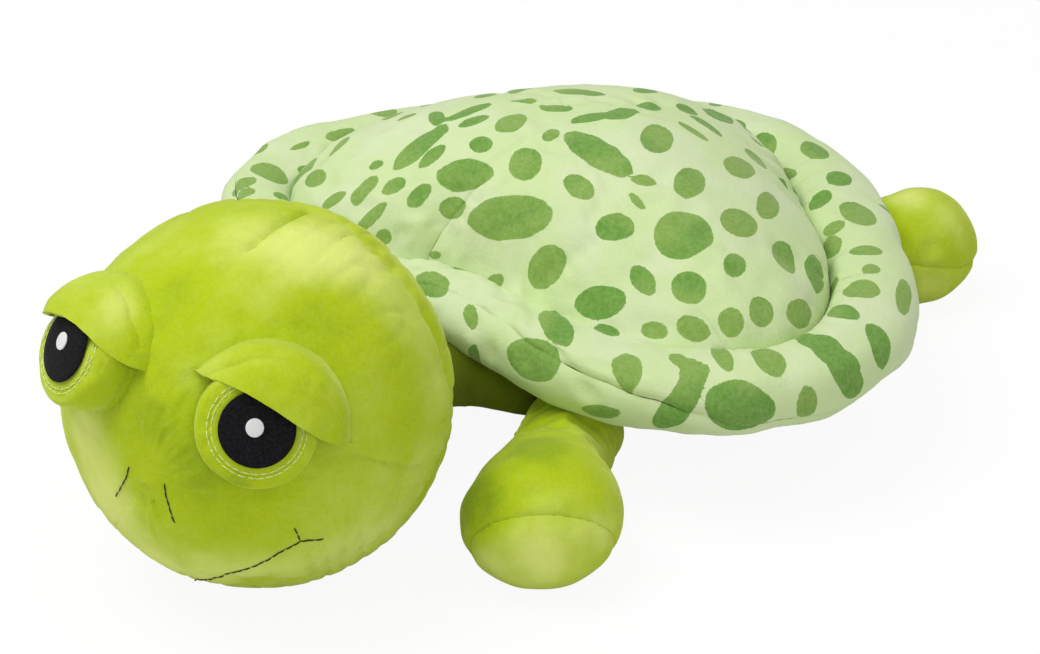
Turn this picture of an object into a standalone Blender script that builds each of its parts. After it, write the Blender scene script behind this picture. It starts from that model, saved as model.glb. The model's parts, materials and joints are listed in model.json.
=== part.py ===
"""A plush turtle that lies on its belly: a stuffed head, a quilted shell and four feet.

Metres, +Z up. The turtle looks along -Y and its left side is +X. Every piece of cloth is a
skin with its real thickness, split where the real one is sewn, over a filling of its own.
"""

import math

import bmesh
import bpy
from mathutils import Matrix, Vector

# Cloth, felt, thread and the gaps between pieces
CLOTH = 0.0012
FELT = 0.0012
THREAD_RADIUS = 0.0006
SEAM_GAP = 0.0004
SOLE_GAP = 0.0011
FILLING_GAP = 0.0008
JOINT_GAP = 0.0004
HEM = 0.0015
WELD = 0.000005
OVERRUN = 0.05
BALL_SIDES = 12

# What rests on the floor is pressed flat this deep
FLOOR_PRESS = 0.0005

# The stuffed roll round the shell: its middle line is a rounded heart, wide at the shoulders
SHELL_RADIUS = 0.1412
SHELL_WAVE_SHARES = (-0.118, -0.149, -0.110, 0.018)
ROLL_WIDTH = 0.042
ROLL_HEIGHT = 0.037
SHELL_LIFT = 0.064
GROOVE_ANGLE = 140
SHELL_COLUMNS = 28
ROLL_ROWS = 3

# The dome and the belly inside the roll
DOME_RISE = 0.058
DOME_POWER = 2.2
DOME_ROUNDING = 0.75
DOME_ROW_SHARES = (0.0, 0.42, 0.72, 0.90, 1.0)
DOME_SEAMS = (("front", -26), ("left", 59), ("rear", 161), ("right", 245))
BELLY_POWER = 3.3
BELLY_ROW_SHARES = (0.0, 0.30, 0.62, 0.84, 1.0)

# The neck runs up from under the roll into the back of the head
NECK_RADIUS = 0.025
NECK_ROOT = (0.0, -0.082, 0.028)
NECK_HEAD = (0.0, -0.152, 0.044)
NECK_ROOM = 0.009
NAPE_ROOM = 0.0153
NECK_OPENING = 62
NECK_SIDES = 14

# The head is a ball, turned and tilted on its neck as it lies
HEAD_RADIUS = 0.085
HEAD_FORWARD = 0.232
HEAD_TURN = 8.8
HEAD_TILT = 7.8
HEAD_COLUMNS = 20
FACE_ROWS = 5
NAPE_ROWS = 5
SEAM_POLAR_TOP = 114
SEAM_POLAR_CHIN = 52
SEAM_ROLL_START = 80
SEAM_ROLL_END = 145

# The eyes: short stuffed cups with felt discs and heavy lids
EYE_TURN = 32
EYE_LIFT = 26
CUP_STAND = 0.0153
CUP_RADIUS = 0.0258
CUP_DEPTH = 0.0235
CUP_PROFILE_SHARES = ((0.92, 0.0), (1.0, 0.45), (0.985, 0.70), (0.86, 0.91), (0.70, 0.985))
CUP_SIDES = 14
PUPIL_RADIUS = 0.0161
PUPIL_CROWN = 0.0012
PUPIL_SHOULDER_SHARES = (0.6, 0.7)
HIGHLIGHT_WIDTH = 0.0074
HIGHLIGHT_HEIGHT = 0.0078
HIGHLIGHT_THICKNESS = 0.0006
HIGHLIGHT_ASIDE = -0.001
HIGHLIGHT_ABOVE = 0.0014
EYE_STITCH_RADIUS = 0.0198
LID_THICKNESS = 0.0022
LID_RADIUS = 0.0343
LID_RISE = 0.032
LID_POWER = 3.2
LID_ASIDE = 0.0035
LID_ABOVE = 0.0005
LID_CLEARANCE = 0.00095
LID_EDGE_ABOVE = 0.0114
LID_SLOPE = 23
LID_COLUMNS = 20
LID_ROW_SHARES = (0.0, 0.45, 0.75, 0.92, 1.0)

# Nostrils and mouth, as turn and lift in degrees on the ball of the head
NOSTRIL_TURNS_LIFTS = ((6.3, 2.0), (7.0, -2.0), (9.0, -7.5), (10.4, -10.5))
MOUTH_TURNS_LIFTS = ((0, -47), (8, -43.5), (15.5, -38), (23.5, -32.8), (30, -28), (36, -23), (41.5, -17),
                     (47, -12.5), (53.8, -12.2))

# Legs: each has a round root, a slim shank, a foot that swells and a toe that closes it.
# The sole is a panel of its own, and its seam lies in a plane.
LEG_ROOT_RADIUS = 0.0215
LEG_ROOT_HEIGHT = 0.0225
LEG_SHANK_RADIUS = 0.019
LEG_SWELL_SHARES = ((0.0, 0.0, 0.0), (0.30, 0.42, 0.04), (0.55, 0.66, 0.30), (0.80, 0.92, 0.80),
                    (1.0, 1.0, 1.0))
LEG_SIDES = 10
ROOT_OPENING_SHARE = 0.55
TOE_ROWS = 4
FRONT_ROOT = (0.062, -0.078)
FRONT_FOOT = (0.109, -0.167)
FRONT_WIDTH = 0.074
FRONT_HEIGHT = 0.061
FRONT_TOE = 0.034
FRONT_TOE_TURN = 12
FRONT_BEND = 0.0025
FRONT_SEAM_REACH = 0.014
FRONT_SEAM_LEAN = 30
REAR_ROOT = (0.062, 0.092)
REAR_FOOT = (0.106, 0.166)
REAR_WIDTH = 0.058
REAR_HEIGHT = 0.061
REAR_TOE = 0.032
REAR_TOE_TURN = 0
REAR_BEND = 0.0
REAR_SEAM_REACH = 0.0
REAR_SEAM_LEAN = 84

# Looks: base colour and roughness
LIME_VELBOA = ((0.52, 0.70, 0.07, 1.0), 0.9)
SPOTTED_VELBOA = ((0.66, 0.83, 0.42, 1.0), 0.9)
FIBRE = ((0.85, 0.85, 0.83, 1.0), 0.95)
BLACK_FELT = ((0.012, 0.012, 0.013, 1.0), 0.9)
WHITE_FELT = ((0.85, 0.85, 0.83, 1.0), 0.8)
EYE_THREAD = ((0.45, 0.55, 0.06, 1.0), 0.7)
DARK_THREAD = ((0.10, 0.12, 0.02, 1.0), 0.6)
TOOL = ((0.5, 0.5, 0.5, 1.0), 0.5)

SIDES = (("left", 1), ("right", -1))


def clear_scene():
    for item in list(bpy.data.objects):
        bpy.data.objects.remove(item, do_unlink=True)


def collection(name):
    made = bpy.data.collections.new(name)
    bpy.context.scene.collection.children.link(made)
    return made


def material(name, look):
    made = bpy.data.materials.new(name)
    made.use_nodes = True
    shader = made.node_tree.nodes["Principled BSDF"]
    shader.inputs["Base Color"].default_value = look[0]
    shader.inputs["Roughness"].default_value = look[1]
    shader.inputs["Metallic"].default_value = 0.0
    return made


def smooth_step(value):
    held = min(1.0, max(0.0, value))
    return held * held * (3.0 - 2.0 * held)


def finish_object(name, data, group, look):
    made = bpy.data.objects.new(name, data)
    data.materials.append(material(name, look))
    group.objects.link(made)
    return made


def turn_faces_outward(shape, inside):
    """Makes all faces agree and look away from a point inside the form."""
    bmesh.ops.recalc_face_normals(shape, faces=shape.faces[:])
    facing = 0.0
    for face in shape.faces:
        facing += (face.calc_center_median() - inside).dot(face.normal) * face.calc_area()
    if facing < 0:
        bmesh.ops.reverse_faces(shape, faces=shape.faces[:])


def even(count):
    return [step / count for step in range(count + 1)]


def hemmed(shares, hem, first=True, last=True):
    """Adds a narrow row next to an end, so that two panels stay apart along their seam."""
    inner = list(shares[1:-1])
    start = [shares[0]] + ([shares[0] + hem] if first else [])
    end = ([shares[-1] - hem] if last else []) + [shares[-1]]
    return start + inner + end


def mapped(name, columns, rows, place, inside, group, look, wall=None, cuts=()):
    """A grid laid over a form by place(column, row) and, if wanted, given a wall.

    Edges that fall together are welded, so a grid can close round a form and at its poles.
    Each cut is a point and a direction: what lies behind it is taken away before the wall.
    """
    shape = bmesh.new()
    across, along = len(columns) - 1, len(rows) - 1
    bmesh.ops.create_grid(shape, x_segments=across, y_segments=along, size=0.5)
    for vertex in shape.verts:
        column = columns[round((vertex.co.x + 0.5) * across)]
        vertex.co = place(column, rows[round((vertex.co.y + 0.5) * along)])
    bmesh.ops.remove_doubles(shape, verts=shape.verts[:], dist=WELD)
    for point, direction in cuts:
        for offset, clear in ((HEM, False), (0.0, True)):
            whole = shape.verts[:] + shape.edges[:] + shape.faces[:]
            bmesh.ops.bisect_plane(shape, geom=whole, dist=WELD, plane_co=point + direction * offset,
                                   plane_no=direction, clear_inner=clear)
    turn_faces_outward(shape, inside)
    mesh = bpy.data.meshes.new(name)
    shape.to_mesh(mesh)
    shape.free()
    mesh.shade_smooth()
    made = finish_object(name, mesh, group, look)
    if wall:
        solid = made.modifiers.new("wall", "SOLIDIFY")
        solid.thickness = wall
        solid.offset = -1.0
        solid.use_even_offset = True
    return made


def turned(name, profile, sides, group, look, place, wall=None):
    """A profile of (radius, height) points, bottom first, turned about Z and then placed."""
    def point(across, row):
        radius, height = row
        return Vector((radius * math.cos(math.tau * across), radius * math.sin(math.tau * across), height))
    middle = Vector((0.0, 0.0, (profile[0][1] + profile[-1][1]) / 2))
    made = mapped(name, even(sides), profile, point, middle, group, look, wall)
    made.data.transform(place)
    return made


def ball(name, centre, radius, group):
    """A cutter's ball, held outside the radius all over although it is faceted."""
    shape = bmesh.new()
    outer = radius / math.cos(math.pi / BALL_SIDES) ** 2
    bmesh.ops.create_uvsphere(shape, u_segments=BALL_SIDES, v_segments=BALL_SIDES // 2, radius=outer)
    bmesh.ops.translate(shape, verts=shape.verts[:], vec=centre)
    mesh = bpy.data.meshes.new(name)
    shape.to_mesh(mesh)
    shape.free()
    return finish_object(name, mesh, group, TOOL)


def thread(name, points, group, look):
    """A sewn thread: a fine round line through its points."""
    curve = bpy.data.curves.new(name, "CURVE")
    curve.dimensions = "3D"
    curve.bevel_depth = THREAD_RADIUS
    curve.bevel_resolution = 0
    curve.use_fill_caps = True
    line = curve.splines.new("POLY")
    line.points.add(len(points) - 1)
    for slot, point in zip(line.points, points):
        slot.co = (*point, 1.0)
    return finish_object(name, curve, group, look)


def carry(name, point, pieces, group, carrier=None):
    """An empty on a joint's axis, which carries the pieces that turn about it."""
    empty = bpy.data.objects.new(name, None)
    empty.location = point
    group.objects.link(empty)
    if carrier:
        empty.parent = carrier
        empty.matrix_parent_inverse = Matrix.Translation(-carrier.location)
    for piece in pieces:
        piece.parent = empty
        piece.matrix_parent_inverse = Matrix.Translation(-empty.location)
    return empty


def take_away(target, cutter):
    bite = target.modifiers.new("clear of " + cutter.name, "BOOLEAN")
    bite.operation = "DIFFERENCE"
    bite.solver = "EXACT"
    bite.object = cutter


# The shell

def gore_columns():
    """Each dome panel with its first turn, its sweep and its number of columns."""
    gores = []
    for place, (name, start) in enumerate(DOME_SEAMS):
        sweep = (DOME_SEAMS[(place + 1) % len(DOME_SEAMS)][1] - start) % 360
        gores.append((name, start, sweep, round(SHELL_COLUMNS * sweep / 360)))
    return gores


def shell_turns():
    """The turns of all columns round the shell, so that every ring of it has the same corners."""
    turns = []
    for _, start, sweep, columns in gore_columns():
        turns += [math.radians(start + sweep * step / columns) for step in range(columns)]
    return turns + [turns[0] + math.tau]


def shell_radius(turn, wave=1.0):
    """The roll's middle line. With less of its wave it is rounder, as the dome is on top."""
    waves = sum(share * math.cos((count + 1) * turn) for count, share in enumerate(SHELL_WAVE_SHARES))
    return SHELL_RADIUS * (1.0 + waves * wave)


def round_shell(turn, radius, height):
    return Vector((radius * math.sin(turn), -radius * math.cos(turn), height))


def roll_point(turn, angle, inset=0.0):
    """A point on the roll, angle 0 at its outermost line and 90 on top."""
    across = (ROLL_WIDTH / 2 - inset) * math.cos(angle)
    up = (ROLL_HEIGHT / 2 - inset) * math.sin(angle)
    return round_shell(turn, shell_radius(turn) + across, SHELL_LIFT + up)


def groove_radius(turn, wave=1.0):
    return shell_radius(turn, wave) + ROLL_WIDTH / 2 * math.cos(math.radians(GROOVE_ANGLE)) - 2 * SEAM_GAP


def groove_height():
    return ROLL_HEIGHT / 2 * math.sin(math.radians(GROOVE_ANGLE))


def waist_share(turn):
    """How far out the body's stuffing reaches inside the roll, as a share of the groove."""
    return (shell_radius(turn) - ROLL_WIDTH / 2 + CLOTH) / groove_radius(turn)


def along_rows(shares, share, profile):
    """A profile read along straight runs between its rows, as the faces lie."""
    for before, after in zip(shares, shares[1:]):
        if share <= after:
            part = (share - before) / (after - before)
            return profile(before) + (profile(after) - profile(before)) * part
    return profile(shares[-1])


def dome_point(turn, share, inset=0.0):
    def profile(at):
        return (1.0 - at ** DOME_POWER) ** DOME_ROUNDING

    rise = DOME_RISE * along_rows(DOME_ROW_SHARES, share, profile)
    height = SHELL_LIFT + groove_height() + rise - inset
    return round_shell(turn, (groove_radius(turn, share) - inset) * share, height)


def belly_point(turn, share, inset=0.0):
    def profile(at):
        return at ** BELLY_POWER

    depth = SHELL_LIFT - groove_height() + FLOOR_PRESS
    height = depth * along_rows(BELLY_ROW_SHARES, share, profile) - FLOOR_PRESS + inset
    return round_shell(turn, (groove_radius(turn, share) - inset) * share, height)


def make_roll(group):
    inside_top = Vector((0.0, 0.0, SHELL_LIFT - SHELL_RADIUS))
    inside_under = Vector((0.0, 0.0, SHELL_LIFT + SHELL_RADIUS))
    turns = shell_turns()
    half_gap, hem = SEAM_GAP / ROLL_HEIGHT, HEM / ROLL_HEIGHT * 2
    sweep = math.radians(GROOVE_ANGLE)
    angles = hemmed([half_gap] + [sweep * share for share in even(ROLL_ROWS)[1:]], hem, last=False)
    under = [-angle for angle in angles]
    look = SPOTTED_VELBOA
    rim_top = mapped("shell_rim_top", turns, angles, roll_point, inside_top, group, look, CLOTH)
    rim_under = mapped("shell_rim_under", turns, under, roll_point, inside_under, group, look, CLOTH)

    def core(turn, angle):
        return roll_point(turn, angle, CLOTH + FILLING_GAP)

    upper = [sweep * share for share in even(ROLL_ROWS)] + [math.pi]
    ring = upper + [math.tau - angle for angle in reversed(upper[:-1])]
    filling = mapped("shell_rim_stuffing", turns, ring, core, Vector(), group, FIBRE)
    return rim_top, rim_under, filling


def make_dome(group):
    middle = Vector((0.0, 0.0, SHELL_LIFT))
    for name, start, sweep, columns in gore_columns():
        half = math.radians(sweep / 2)
        aside = round_shell(math.radians(start) + half, SEAM_GAP / 2 / math.sin(half), 0.0)
        shares = hemmed(even(columns), HEM / (SHELL_RADIUS * 2 * half))
        turns = [math.radians(start + sweep * share) for share in shares]

        def gore(turn, share, aside=aside):
            return dome_point(turn, share) + aside

        mapped("shell_dome_" + name, turns, DOME_ROW_SHARES, gore, middle, group, SPOTTED_VELBOA, CLOTH)


def make_belly(group):
    middle = Vector((0.0, 0.0, SHELL_LIFT))
    return mapped("belly_panel", shell_turns(), BELLY_ROW_SHARES, belly_point, middle, group,
                  LIME_VELBOA, CLOTH)


def make_body_stuffing(group):
    inset = CLOTH + FILLING_GAP
    lower = [(belly_point, share) for share in BELLY_ROW_SHARES]
    upper = [(dome_point, share) for share in reversed(DOME_ROW_SHARES)]

    def point(turn, row):
        surface, share = row
        return surface(turn, min(share, waist_share(turn)), inset)

    middle = Vector((0.0, 0.0, SHELL_LIFT))
    return mapped("body_stuffing", shell_turns(), lower + upper, point, middle, group, FIBRE)


# The neck

def neck_frame():
    root, head = Vector(NECK_ROOT), Vector(NECK_HEAD)
    lean = Vector((0.0, 0.0, 1.0)).rotation_difference(head - root)
    return Matrix.Translation(root) @ lean.to_matrix().to_4x4(), (head - root).length


def capsule_profile(radius, length, opening, rings=3):
    """A round-ended sausage from Z 0 to its length, each end open by an angle, or closed by 0."""
    steps = [opening + (90 - opening) * step / rings for step in range(rings + 1)]
    lower = [(radius * math.sin(math.radians(a)), -radius * math.cos(math.radians(a))) for a in steps]
    upper = [(across, length - up) for across, up in reversed(lower)]
    return lower + upper


def make_neck(group):
    frame, length = neck_frame()
    skin = capsule_profile(NECK_RADIUS, length, 90 - NECK_OPENING)
    core = capsule_profile(NECK_RADIUS - CLOTH - FILLING_GAP, length, 0)
    return [turned("neck_skin", skin, NECK_SIDES, group, LIME_VELBOA, frame, CLOTH),
            turned("neck_stuffing", core, NECK_SIDES, group, FIBRE, frame)]


def neck_rooms(group):
    """The spaces that the neck needs in the body and in the head, as they turn on its round ends."""
    frame, length = neck_frame()
    rings = BALL_SIDES // 4
    radius = (NECK_RADIUS + JOINT_GAP) / math.cos(math.pi / BALL_SIDES) ** 2
    both_ends = capsule_profile(radius, length, 0, rings)
    root = both_ends[:rings + 1] + [(radius + NECK_ROOM, length), (0.0, length)]
    head = [(0.0, 0.0), (radius + NAPE_ROOM, 0.0)] + both_ends[rings + 1:]
    in_body = turned("neck_room_body", root, BALL_SIDES, group, TOOL, frame)
    in_head = turned("neck_room_head", head, BALL_SIDES, group, TOOL, frame)
    return in_body, in_head


# The head

def head_frame():
    centre = Vector((0.0, -HEAD_FORWARD, HEAD_RADIUS - FLOOR_PRESS))
    turn = Matrix.Rotation(math.radians(HEAD_TURN), 4, "Z")
    tilt = Matrix.Rotation(math.radians(HEAD_TILT), 4, "Y")
    return Matrix.Translation(centre) @ turn @ tilt


def on_head(turn, lift, radius):
    """A place in the head's own frame by its turn to the left and its lift, in degrees."""
    side, up = math.radians(turn), math.radians(lift)
    return Vector((math.sin(side) * math.cos(up), -math.cos(side) * math.cos(up), math.sin(up))) * radius


def seam_polar(roll):
    """How far back the seam between face and nape lies, roll 0 at the crown and 180 at the chin."""
    share = (abs(roll) - SEAM_ROLL_START) / (SEAM_ROLL_END - SEAM_ROLL_START)
    return SEAM_POLAR_TOP + (SEAM_POLAR_CHIN - SEAM_POLAR_TOP) * smooth_step(share)


def head_point(roll, polar, radius):
    side, back = math.radians(roll), math.radians(polar)
    ring = math.sin(back)
    return Vector((ring * math.sin(side), -math.cos(back), ring * math.cos(side))) * radius


def face_point(roll, share, radius=HEAD_RADIUS):
    return head_point(roll, seam_polar(roll) * share, radius)


def nape_point(roll, share, radius=HEAD_RADIUS):
    seam = seam_polar(roll)
    return head_point(roll, seam + (180 - seam) * share, radius)


def head_rolls():
    return [360 * share - 180 for share in even(HEAD_COLUMNS)]


def whole_head(name, radius, group, look):
    """The closed ball of the head at any radius, with the same corners as its panels."""
    def point(roll, row):
        panel, share = row
        return panel(roll, share, radius)

    rows = [(face_point, share) for share in even(FACE_ROWS)]
    rows += [(nape_point, share) for share in even(NAPE_ROWS)[1:]]
    made = mapped(name, head_rolls(), rows, point, Vector(), group, look)
    made.data.transform(head_frame())
    return made


def make_head(group):
    half_gap = SEAM_GAP / HEAD_RADIUS / 2
    hem = HEM / HEAD_RADIUS / 2
    face_rows = hemmed(even(FACE_ROWS)[:-1] + [1.0 - half_gap], hem, first=False)
    nape_rows = hemmed([half_gap] + even(NAPE_ROWS)[1:], hem, last=False)
    middle, look = Vector(), LIME_VELBOA
    face = mapped("head_face_panel", head_rolls(), face_rows, face_point, middle, group, look, CLOTH)
    nape = mapped("head_nape_panel", head_rolls(), nape_rows, nape_point, middle, group, look, CLOTH)
    for piece in (face, nape):
        piece.data.transform(head_frame())
    filling = whole_head("head_stuffing", HEAD_RADIUS - CLOTH - FILLING_GAP, group, FIBRE)
    return face, nape, filling


# The eyes

def eye_frame(side):
    """Z looks out of the eye, X to the turtle's left and Y up, from the middle of the head."""
    out = on_head(EYE_TURN * side, EYE_LIFT, 1.0)
    aside = Vector((math.cos(math.radians(EYE_TURN)), math.sin(math.radians(EYE_TURN)) * side, 0.0))
    above = out.cross(aside)
    turn = Matrix((aside, above, out)).transposed().to_4x4()
    return head_frame() @ turn


def cup_base():
    """How far the cup's open back lies from the middle of the head, inside its cloth."""
    return HEAD_RADIUS + CUP_STAND - CUP_DEPTH


def cup_profile(inset=0.0):
    """The cup's side, from its open back to its front, as (radius, height)."""
    radius, depth, base = CUP_RADIUS, CUP_DEPTH - inset, cup_base()
    return [(radius * across - inset, base + depth * up) for across, up in CUP_PROFILE_SHARES]


def disc_seat():
    """How far out the felt disc's back lies, in front of the cup."""
    return cup_profile()[-1][1] + SEAM_GAP


def disc_front():
    return disc_seat() + FELT + PUPIL_CROWN


def make_pupil(name, frame, group):
    """A felt disc, a little domed, with a small felt oval on it."""
    seat, front = disc_seat(), disc_front()
    across, up = PUPIL_SHOULDER_SHARES
    shoulder = (PUPIL_RADIUS * across, seat + FELT + PUPIL_CROWN * up)
    disc = [(0.0, seat), (PUPIL_RADIUS, seat), (PUPIL_RADIUS, seat + FELT), shoulder, (0.0, front)]
    on_top = front + SEAM_GAP
    oval = Matrix.Diagonal((HIGHLIGHT_WIDTH / HIGHLIGHT_HEIGHT, 1.0, 1.0, 1.0))
    aside = Matrix.Translation((HIGHLIGHT_ASIDE, HIGHLIGHT_ABOVE, 0.0))
    half = HIGHLIGHT_HEIGHT / 2
    rim, crown = on_top + HIGHLIGHT_THICKNESS / 2, on_top + HIGHLIGHT_THICKNESS
    spot = [(0.0, on_top), (half, on_top), (half, rim), (0.0, crown)]
    return [turned("eye_pupil_" + name, disc, CUP_SIDES, group, BLACK_FELT, frame),
            turned("eye_highlight_" + name, spot, CUP_SIDES, group, WHITE_FELT, frame @ aside @ oval)]


def make_eye(name, side, group, head_cutter):
    frame = eye_frame(side)
    cup = turned("eye_cup_" + name, cup_profile(), CUP_SIDES, group, LIME_VELBOA, frame, CLOTH)
    inset = CLOTH + FILLING_GAP
    core = [(0.0, cup_base())] + cup_profile(inset) + [(0.0, cup_profile()[-1][1] - inset)]
    filling = turned("eye_stuffing_" + name, core, CUP_SIDES, group, FIBRE, frame)
    for piece in (cup, filling):
        take_away(piece, head_cutter)
    return [cup, filling, make_eye_stitching(name, side, frame, group)] + make_pupil(name, frame, group)


def make_eye_stitching(name, side, frame, group):
    """The row of stitches round the disc, laid on the cup's rounded front as far as the lid."""
    shoulder, front = cup_profile()[-2], cup_profile()[-1]
    share = (EYE_STITCH_RADIUS - front[0]) / (shoulder[0] - front[0])
    height = front[1] + (shoulder[1] - front[1]) * share + THREAD_RADIUS + SEAM_GAP
    rise = math.asin((LID_EDGE_ABOVE - 2 * THREAD_RADIUS) / EYE_STITCH_RADIUS)
    slope = math.radians(LID_SLOPE) * side
    points = []
    for share in even(CUP_SIDES):
        angle = math.pi - rise - slope + (math.pi + 2 * rise) * share
        place = Vector((EYE_STITCH_RADIUS * math.cos(angle), EYE_STITCH_RADIUS * math.sin(angle), height))
        points.append(frame @ place)
    return thread("eye_stitching_" + name, points, group, EYE_THREAD)


def make_lid(name, side, group, head_cutter):
    """A padded half-moon that hangs over the upper part of the cup, lower on its outer side."""
    frame = eye_frame(side)
    base = disc_front() + LID_CLEARANCE + LID_THICKNESS - LID_RISE

    def point(across, share):
        angle = math.tau * across
        radius = LID_RADIUS * share
        aside = radius * math.cos(angle) + LID_ASIDE * side
        above = radius * math.sin(angle) + LID_ABOVE
        rise = LID_RISE * (1.0 - share ** LID_POWER) ** (1.0 / LID_POWER)
        return Vector((aside, above, base + rise))

    slope = math.radians(LID_SLOPE) * side
    across_edge = Vector((math.sin(slope), math.cos(slope), 0.0))
    edge = across_edge * LID_EDGE_ABOVE
    middle = Vector((0.0, 0.0, base))
    lid = mapped("eyelid_" + name, even(LID_COLUMNS), LID_ROW_SHARES, point, middle, group,
                 LIME_VELBOA, LID_THICKNESS, cuts=[(edge, across_edge)])
    lid.data.transform(frame)
    take_away(lid, head_cutter)
    return lid


def make_face_threads(group):
    frame = head_frame()
    radius = HEAD_RADIUS + THREAD_RADIUS + SEAM_GAP
    right = [(-turn, lift) for turn, lift in MOUTH_TURNS_LIFTS[:0:-1]]
    points = [frame @ on_head(turn, lift, radius) for turn, lift in right + list(MOUTH_TURNS_LIFTS)]
    threads = [thread("mouth_thread", points, group, DARK_THREAD)]
    for name, side in SIDES:
        points = [frame @ on_head(turn * side, lift, radius) for turn, lift in NOSTRIL_TURNS_LIFTS]
        threads.append(thread("nostril_thread_" + name, points, group, DARK_THREAD))
    return threads


# Legs

def leg_swell(station):
    """How far the leg has swollen in width and in height from its shank to its foot, 0 to 1."""
    for before, after in zip(LEG_SWELL_SHARES, LEG_SWELL_SHARES[1:]):
        if station <= after[0]:
            part = max(0.0, station - before[0]) / (after[0] - before[0])
            return [low + (high - low) * part for low, high in zip(before[1:], after[1:])]
    return LEG_SWELL_SHARES[-1][1:]


class Leg:
    """One leg: its root on the ground plan, its foot, and the sizes of its foot and toe."""

    def __init__(self, root, foot, width, height, toe, toe_turn, bend, seam_reach, seam_lean, side):
        self.root = Vector((root[0] * side, root[1], LEG_ROOT_HEIGHT))
        self.foot = Vector((foot[0] * side, foot[1], height / 2 - FLOOR_PRESS))
        reach = self.foot - self.root
        self.ahead = Vector((reach.x, reach.y, 0.0)).normalized()
        forward = math.copysign(1.0, -self.ahead.y)
        self.aside = Vector((abs(self.ahead.y) * side, self.ahead.x * side * forward, 0.0))
        self.half_width, self.half_height, self.toe, self.bend = width / 2, height / 2, toe, bend
        self.toe_turn = math.radians(toe_turn)
        self.seam_reach, self.seam_lean = seam_reach, math.radians(seam_lean)

    def point(self, across, station, inset=0.0):
        """Stations run from -1 to 0 over the round root, to 1 down the leg and to 2 over the toe."""
        wider, higher = leg_swell(station)
        half_width = LEG_SHANK_RADIUS + (self.half_width - LEG_SHANK_RADIUS) * wider - inset
        half_height = LEG_SHANK_RADIUS + (self.half_height - LEG_SHANK_RADIUS) * higher - inset
        shrink, reach = 1.0, Vector()
        held = min(1.0, max(0.0, station))
        centre = self.root.lerp(self.foot, held) + self.aside * (self.bend * math.sin(math.pi * held))
        centre.z = self.root.z + (self.foot.z - self.root.z) * higher
        if station < 0.0:
            half_width = half_height = LEG_ROOT_RADIUS - inset
            shrink = math.cos(math.radians(90 * station))
            reach = self.ahead * (half_width * math.sin(math.radians(90 * station)))
        elif station > 1.0:
            shrink = math.cos(math.radians(90 * (station - 1.0)))
            turned_toe = self.ahead * math.cos(self.toe_turn) + self.aside * math.sin(self.toe_turn)
            reach = turned_toe * ((self.toe - inset) * math.sin(math.radians(90 * (station - 1.0))))
        swing = self.toe_turn * higher
        wide = self.aside * math.cos(swing) - self.ahead * math.sin(swing)
        angle = math.tau * across
        up = Vector((0.0, 0.0, half_height * math.sin(angle) * shrink))
        return centre + reach + wide * (half_width * math.cos(angle) * shrink) + up

    def seam(self):
        """The plane of the sole's seam: a point on it and its direction towards the sole."""
        facing = self.ahead * math.cos(self.toe_turn) + self.aside * math.sin(self.toe_turn)
        direction = facing * math.cos(self.seam_lean) - Vector((0.0, 0.0, math.sin(self.seam_lean)))
        return self.foot + facing * self.seam_reach, direction


def make_leg(tag, leg, group, floor):
    middle = (leg.root + leg.foot) / 2
    swells = [row[0] for row in LEG_SWELL_SHARES]
    toe = [1.0 + step / TOE_ROWS for step in range(1, TOE_ROWS + 1)]
    open_stations = [-ROOT_OPENING_SHARE] + swells + toe
    closed_stations = [-1.0, -ROOT_OPENING_SHARE] + swells + toe
    seam, direction = leg.seam()
    half_gap = direction * (SOLE_GAP / 2)
    around = even(LEG_SIDES)
    skin = mapped("leg_panel_" + tag, around, open_stations, leg.point, middle, group, LIME_VELBOA, CLOTH,
                  cuts=[(seam - half_gap, -direction)])
    sole = mapped("sole_panel_" + tag, around, open_stations, leg.point, middle, group, LIME_VELBOA, CLOTH,
                  cuts=[(seam + half_gap, direction)])

    def core(across, station):
        return leg.point(across, station, CLOTH + FILLING_GAP)

    filling = mapped("leg_stuffing_" + tag, around, closed_stations, core, middle, group, FIBRE)
    for piece in (skin, sole):
        take_away(piece, floor)
    return [skin, sole, filling]


def floor_cutter(group):
    shape = bmesh.new()
    bmesh.ops.create_cube(shape, size=1.0)
    reach = 2 * (HEAD_FORWARD + HEAD_RADIUS + OVERRUN)
    bmesh.ops.scale(shape, verts=shape.verts[:], vec=(reach, reach, OVERRUN))
    bmesh.ops.translate(shape, verts=shape.verts[:], vec=(0.0, 0.0, -OVERRUN / 2))
    mesh = bpy.data.meshes.new("floor")
    shape.to_mesh(mesh)
    shape.free()
    return finish_object("floor", mesh, group, TOOL)


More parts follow.
